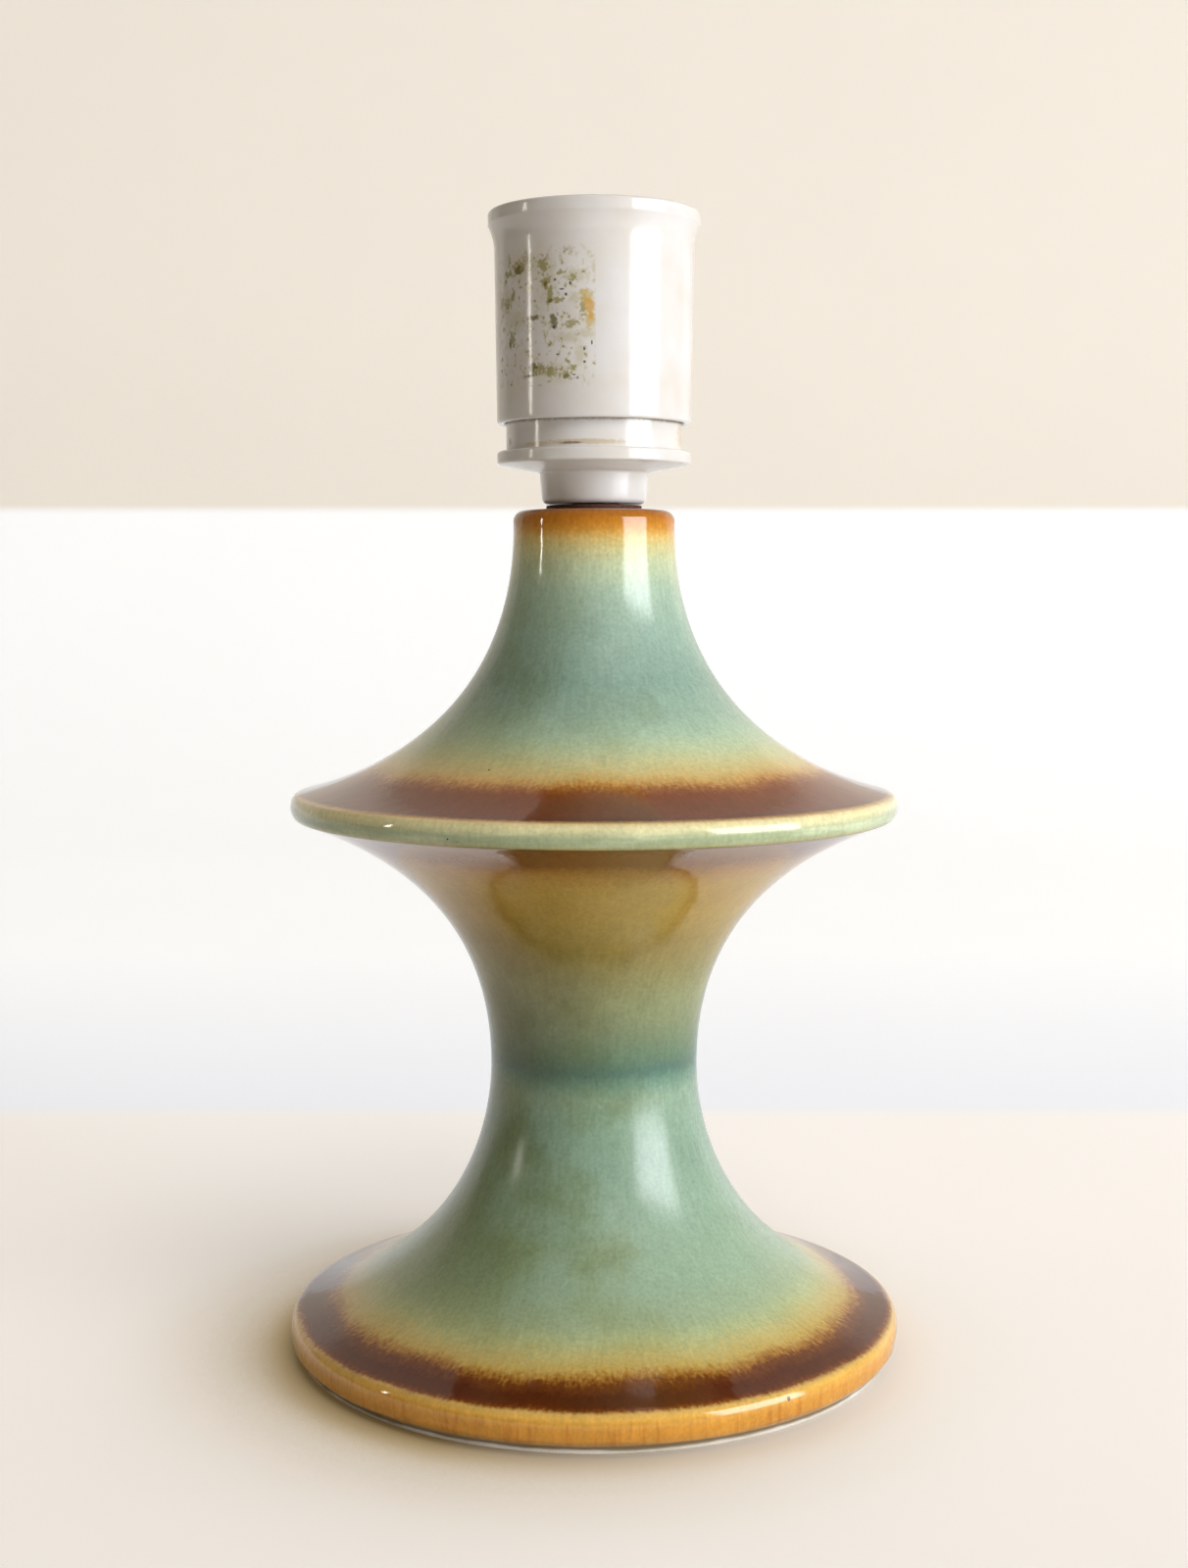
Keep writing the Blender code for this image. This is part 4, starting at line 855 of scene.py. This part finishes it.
def makeNut():
    # hexagon: the radius at each angle reaches the flat, and outside the circle in it both faces fall away
    bottom, top = span("hex_nut")[:2]
    inscribed = nut["flats"] / 2
    angle = np.linspace(0, tau, nut["steps"], endpoint=False)
    hexagon = inscribed / np.cos((angle + np.pi / 6) % (np.pi / 3) - np.pi / 6)
    slope = inscribed + (hexagon - inscribed) * np.linspace(0, 1, 5)[:, None]
    drop = (slope - inscribed) * np.tan(np.radians(nut["slope"]))
    around = np.ones((1, nut["steps"]))
    radius = np.concatenate([around * nut["bore"], slope, slope[::-1], around * nut["bore"]])
    height = np.concatenate([around * top, top - drop, bottom + drop[::-1], around * bottom])
    points = np.stack([radius * np.cos(angle), radius * np.sin(angle), height], -1)
    dress(addGrid("hexagonNut", points, zincPlatedSteel, sharp=25), "hex_nut")


# Screws and rivets: name, CAD node, aim, head's radius and height, shank's radius, degrees the slot is turned
fasteners = [
    ("fixingScrewFront", "fixing_screw_front", (0, 0, 1), (2.4, 1.8), 1.4, 20),
    ("fixingScrewRear", "fixing_screw_rear", (0, 0, 1), (2.4, 1.8), 1.4, 65),
    ("clampScrewLive", "live_clamp_screw", (-1, 0, 0), (2.4, 1.5), 1.4, 30),
    ("clampScrewNeutral", "neutral_clamp_screw", (1, 0, 0), (2.4, 1.5), 1.4, 80),
    ("grubScrew", "cap_set_screw", (0, 1, 0), None, 1.75, 35),
    ("rivetNeutral", "neutral_rivet", (0, 0, 1), (1.25, 0.8), 0.9, None),
    ("rivetContact", "contact_rivet", (0, 0, 1), (1.25, 0.8), 0.9, None),
]
screw = {
    "steps": 40, "pitch": 0.7, "threadDepth": -0.28, "threadFade": 0.5, "grubTop": 0.3,
    "slotWidth": 0.7, "slotDepth": 0.9,
}


def makeFasteners():
    for name, node, aim, head, shank, slotTurn in fasteners:
        # made upright with the top of its head at the origin, then turned to its aim and moved to its node
        low, high = (Vector(corner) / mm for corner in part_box(node))
        aim = Vector(aim)
        length = abs(aim.dot(high - low))
        crown, threadTop = np.empty((0, 2)), screw["grubTop"]
        corners = [(0, 0, 0), (shank, 0, 0.25), (shank, -length, 0.5), (0, -length, 0)]
        if head:
            headRadius, threadTop = head
            t = np.linspace(0, np.pi / 2, 12)
            crown = np.stack([headRadius * np.sin(t), threadTop * (np.cos(t) ** 0.8 - 1)], -1)
            corners = [(shank, -threadTop, 0), (shank - 0.2, -length, 0.2), (0, -length, 0)]
        profile = np.concatenate([crown, roundedOutline(corners, 4, 0.12, closed=False)])
        isScrew = slotTurn is not None
        levels, radii = (-length, -threadTop), (shank - 0.25, shank + 0.05)
        groove = threadShift(profile, screw, levels, radii) if isScrew else 0
        points = turned(profile, screw["steps"], groove)
        piece = addGrid(name, points, zincPlatedSteel if isScrew else brass, closeRows=False)
        if isScrew:
            half = screw["slotWidth"] / 2
            slotCut(piece, (-5, -half, -screw["slotDepth"]), (5, half, 1))
            piece.data.transform(Matrix.Rotation(np.radians(slotTurn), 4, "Z"))
        piece.data.transform(aim.to_track_quat("Z", "Y").to_matrix().to_4x4())
        piece.data.transform(Matrix.Translation(((low + high) / 2 + aim * length / 2) * mm))
        dress(piece, node)


contact = {
    "sheet": 0.5, "width": 4.8, "back": 1.4, "front": 1.8, "rivetReach": 5.7, "rise": 3.2, "nose": 2.2,
    "noseDrop": 1.2, "handleShare": 0.45, "edge": 0.12, "rivetHole": 1.2,
}


def makeContact():
    # a flat strip carried along its bent path: foot, S-shaped arm, and a nose turned down
    level = span("centre_contact")[0] + contact["sheet"] / 2
    bend = contact["rivetReach"] - contact["front"]
    rise, share = contact["rise"], contact["handleShare"]
    foot = np.linspace((-contact["front"] - contact["back"], 0), (0, 0), 9)[:-1]
    lead = bend * share
    arm = cubic((0, 0), (lead, 0), (bend - lead, rise), (bend, rise), 24)
    lead, down = contact["nose"] * share, contact["noseDrop"] * share
    tip = (bend + contact["nose"], rise - contact["noseDrop"])
    curl = cubic((bend, rise), (bend + lead, rise), (tip[0], tip[1] + down), tip, 14)
    path = np.concatenate([foot, arm, curl[1:]])
    normal = leftNormals(path)
    thick, wide = contact["sheet"] / 2, contact["width"] / 2
    corners = [(-thick, -wide), (thick, -wide), (thick, wide), (-thick, wide)]
    section = roundedOutline([(*corner, contact["edge"]) for corner in corners], 4)
    # the strip narrows to nothing in width and thickness only at its capped ends
    rows = np.concatenate([path[:1], path, path[-1:]])
    normals = np.concatenate([normal[:1], normal, normal[-1:]])
    grow = np.ones((len(rows), 1))
    grow[[0, -1]] = 0
    x = -bend + rows[:, :1] + normals[:, :1] * section[:, 0] * grow
    z = level + rows[:, 1:] + normals[:, 1:] * section[:, 0] * grow
    points = np.stack([x, section[:, 1] * grow, z], -1)
    piece = addGrid("contactTongue", points, brass, closeRows=False, sharp=40)
    bore(piece, contact["rivetHole"], (-contact["rivetReach"], 0, level - 2), 4)
    dress(piece, "centre_contact", "contact")


makeSleeve()
makeCap()
makeGuard()
makeShell()
makeInsert()
print("holder's mouldings and shell made")
makeRings()
makeTube()
makeNut()
makeFasteners()
makeContact()
print("small metal parts made")
for terminal in ("live_terminal", "neutral_terminal"):
    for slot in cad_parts[terminal].material_slots:
        slot.material = brass


# Stage: floor, backdrop, lights and camera
stage = {
    "floorSize": 3.2, "wallDistance": 1.1, "wallHeight": 2.4, "bend": 0.35,
    # colours of the sheet, and how far back or how high each gives way to the next, in metres
    "floorColour": "#efeae4", "footWallColour": "#edeff3", "lowWallColour": "#fefefd",
    "highWallColour": "#eae2d5", "upperWallColour": "#c4baac",
    "floorEnds": (0.18, 0.19), "footWallEnds": (0.19, 0.45), "lowWallEnds": (0.208, 0.216),
    "highWallEnds": (0.6, 0.85),
    # how much of the lamps' light is kept where the sheet is seen, and the even glow that goes with it
    "litFloor": 0.8, "litWall": 0.5, "glowFloor": 0.53, "glowFrom": -0.1, "glowFar": 0.12, "glowWall": 0.73,
    # what is seen of the floor darkens round the foot, by how open it is there, less on the window's side: a
    # painted contact shadow
    "contactShadowReach": 0.112, "contact": [(0.35, "#75623f"), (0.7, "#b9a985"), (0.97, "#ffffff")],
    "contactShadowSides": (-0.03, 0.07, 0.2),
}


def paleCard(name):
    # matt paper: soft mottling, nine patches to a metre, lifted where the camera or a gloss sees it
    material, node, place, clouds = newMaterial(name, (1000 / 9, 3.0))
    tone = node("Math MULTIPLY_ADD", clouds, 0.03, 0.985)
    shade = node("CombineColor", tone, tone, tone)
    across, back, high = (node("SeparateXYZ", place, output=axis) for axis in range(3))
    near, far = stage["floorEnds"]
    isWall = node("MapRange", back, near, far, **smoothStep)
    wall = stage["footWallColour"]
    for measure, part, above, way in (
        (back, "foot", "low", {}), (high, "low", "high", smoothStep), (high, "high", "upper", smoothStep)
    ):
        start, end = stage[f"{part}WallEnds"]
        isAbove = node("MapRange", measure, start, end, **way)
        wall = node("Mix", {"Factor": isAbove, 6: wall, 7: stage[f"{above}WallColour"]}, **colourMix)
    sheet = node("Mix", {"Factor": isWall, 6: stage["floorColour"], 7: wall}, **colourMix)
    tint = node("Mix", {"Factor": 1.0, 6: sheet, 7: shade}, **colourTimes)
    # where it is seen, an even glow takes the place of some of the lamps' light; the light it throws is plain
    byCamera, byGloss = (node("LightPath", output=f"Is {ray} Ray") for ray in ("Camera", "Glossy"))
    seen = node("Math MAXIMUM", byCamera, byGloss)
    dimmed = node("Mix", {"Factor": isWall, 2: 1 - stage["litFloor"], 3: 1 - stage["litWall"]})
    dimmed = node("Math MULTIPLY", seen, dimmed)
    dimmed = node("Math SUBTRACT", 1.0, dimmed)
    # painted contact shadow: the seen floor darkens round the foot, by how open it is there
    openness = node("AmbientOcclusion", {"Distance": stage["contactShadowReach"]}, output="AO", samples=16)
    contact = node("ValToRGB", openness, stops=stage["contact"])
    shadySide, windowSide, least = stage["contactShadowSides"]
    side = node("MapRange", across, shadySide, windowSide, 1.0, least)
    shaded = node("Mix", {"Factor": side, 6: tint, 7: contact}, **colourTimes)
    shaded = node("Mix", {"Factor": seen, 6: tint, 7: shaded}, **colourMix)
    lit = node("VectorMath SCALE", {0: shaded, "Scale": dimmed})
    glow = node("MapRange", back, stage["glowFrom"], near, 0.0, stage["glowFar"])
    glow = node("Math ADD", glow, stage["glowFloor"])
    glow = node("Mix", {"Factor": isWall, 2: glow, 3: stage["glowWall"]})
    glow = node("Math MULTIPLY", seen, glow)
    links = {"Base Color": lit, "Roughness": 0.75, "Specular IOR Level": 0.2}
    return finish(material, {**links, "Emission Color": shaded, "Emission Strength": glow})


def makeStage():
    # one sheet: flat floor, a quarter bend and an upright wall
    bend, wall, half = stage["bend"], stage["wallDistance"], stage["floorSize"] / 2
    arc = np.linspace(0, np.pi / 2, 16)[1:]
    run, rise = np.linspace(-half, wall - bend, 12), np.linspace(bend, stage["wallHeight"], 8)[1:]
    y = np.concatenate([run, wall - bend + bend * np.sin(arc), np.full(7, wall)])
    z = np.concatenate([np.zeros(12), bend - bend * np.cos(arc), rise])
    points = np.stack(np.broadcast_arrays(np.linspace(-half, half, 12), y[:, None], z[:, None]), -1)
    paper = paleCard("palePaper")
    addGrid("backdrop", points[::-1] / mm, paper, closeRows=False, closeColumns=False)


# Lamps: degrees round from the front and up, metres away, width and height, power, colour, the share of the
# width over which the edge fades, and whether it is mirrored
lights = {
    "window": (61, 12.5, 1.7, (1.3, 1.05), 27, "#f5f8ff", 0.14, True),
    "strip": (-79, 10, 1.6, (0.06, 0.32), 1.0, "#fff8ee", 0.1, True),
    "fill": (24, 48, 2.0, (1.6, 1.2), 13, "#fff8f0", 0.45, False),
}
aimHeight = 0.11
roomLight = {
    "colours": [(0.0, "#4a3f2a"), (0.45, "#5e523c"), (0.62, "#b8af9f"), (1.0, "#ece6dc")], "strength": 0.44,
}


def fadeEdges(lamp, fade):
    # full in the middle and dark at the edge, over that share of the width, with the same power as a whole
    lamp.use_nodes = True
    node = partial(addNode, lamp.node_tree)
    spread = node("NewGeometry", output="Parametric")
    soft = 1 / (1 - fade) ** 2
    for axis in (0, 1):
        away = node("Math SUBTRACT", node("SeparateXYZ", spread, output=axis), 0.5)
        away = node("Math ABSOLUTE", away)
        level = node("MapRange", away, 0.5, 0.5 - fade, **smoothStep)
        soft = node("Math MULTIPLY", level, soft)
    plug(lamp.node_tree, lamp.node_tree.nodes["Emission"], {"Strength": soft})


def makeLights():
    for name, (azimuth, elevation, distance, size, power, colour, fade, mirrored) in lights.items():
        azimuth, elevation = np.radians(azimuth), np.radians(elevation)
        level = np.cos(elevation)
        away = Vector((np.sin(azimuth) * level, -np.cos(azimuth) * level, np.sin(elevation)))
        lamp = bpy.data.lights.new(name, "AREA")
        lamp.shape = "RECTANGLE"
        lamp.size, lamp.size_y = size
        lamp.energy = power
        lamp.color = linear(colour)[:3]
        fadeEdges(lamp, fade)
        holder = addObject(name, lamp)
        holder.visible_glossy = mirrored
        holder.location = Vector((0, 0, aimHeight)) + away * distance
        holder.rotation_euler = away.to_track_quat("Z", "Y").to_euler()


def makeRoom():
    # a room that is bright behind the lamp and overhead, and dim in front of it
    world = bpy.data.worlds.new("room")
    bpy.context.scene.world = world
    world.use_nodes = True
    node = partial(addNode, world.node_tree)
    toWall = node("SeparateXYZ", node("TexCoord", output="Generated"), output=1)
    toWall = node("Math MULTIPLY_ADD", toWall, 0.5, 0.5)
    room = node("ValToRGB", toWall, stops=roomLight["colours"])
    seen = node("LightPath", output="Is Camera Ray")
    colour = node("Mix", {"Factor": seen, 6: room, 7: stage["highWallColour"]}, **colourMix)
    strength = node("Mix", {"Factor": seen, 2: roomLight["strength"], 3: 1.0})
    plug(world.node_tree, world.node_tree.nodes["Background"], {"Color": colour, "Strength": strength})


camera = {"distance": 0.41968, "height": 0.15505, "pitch": 5.379, "lens": 47.48}


def makeCamera():
    data = bpy.data.cameras.new("camera")
    data.lens = camera["lens"]
    holder = addObject("camera", data)
    holder.location = (0, -camera["distance"], camera["height"])
    holder.rotation_euler = (np.radians(90 - camera["pitch"]), 0, 0)
    bpy.context.scene.camera = holder
    bpy.context.scene.view_settings.view_transform = "Standard"


makeStage()
makeLights()
makeRoom()
makeCamera()
print("stage made")
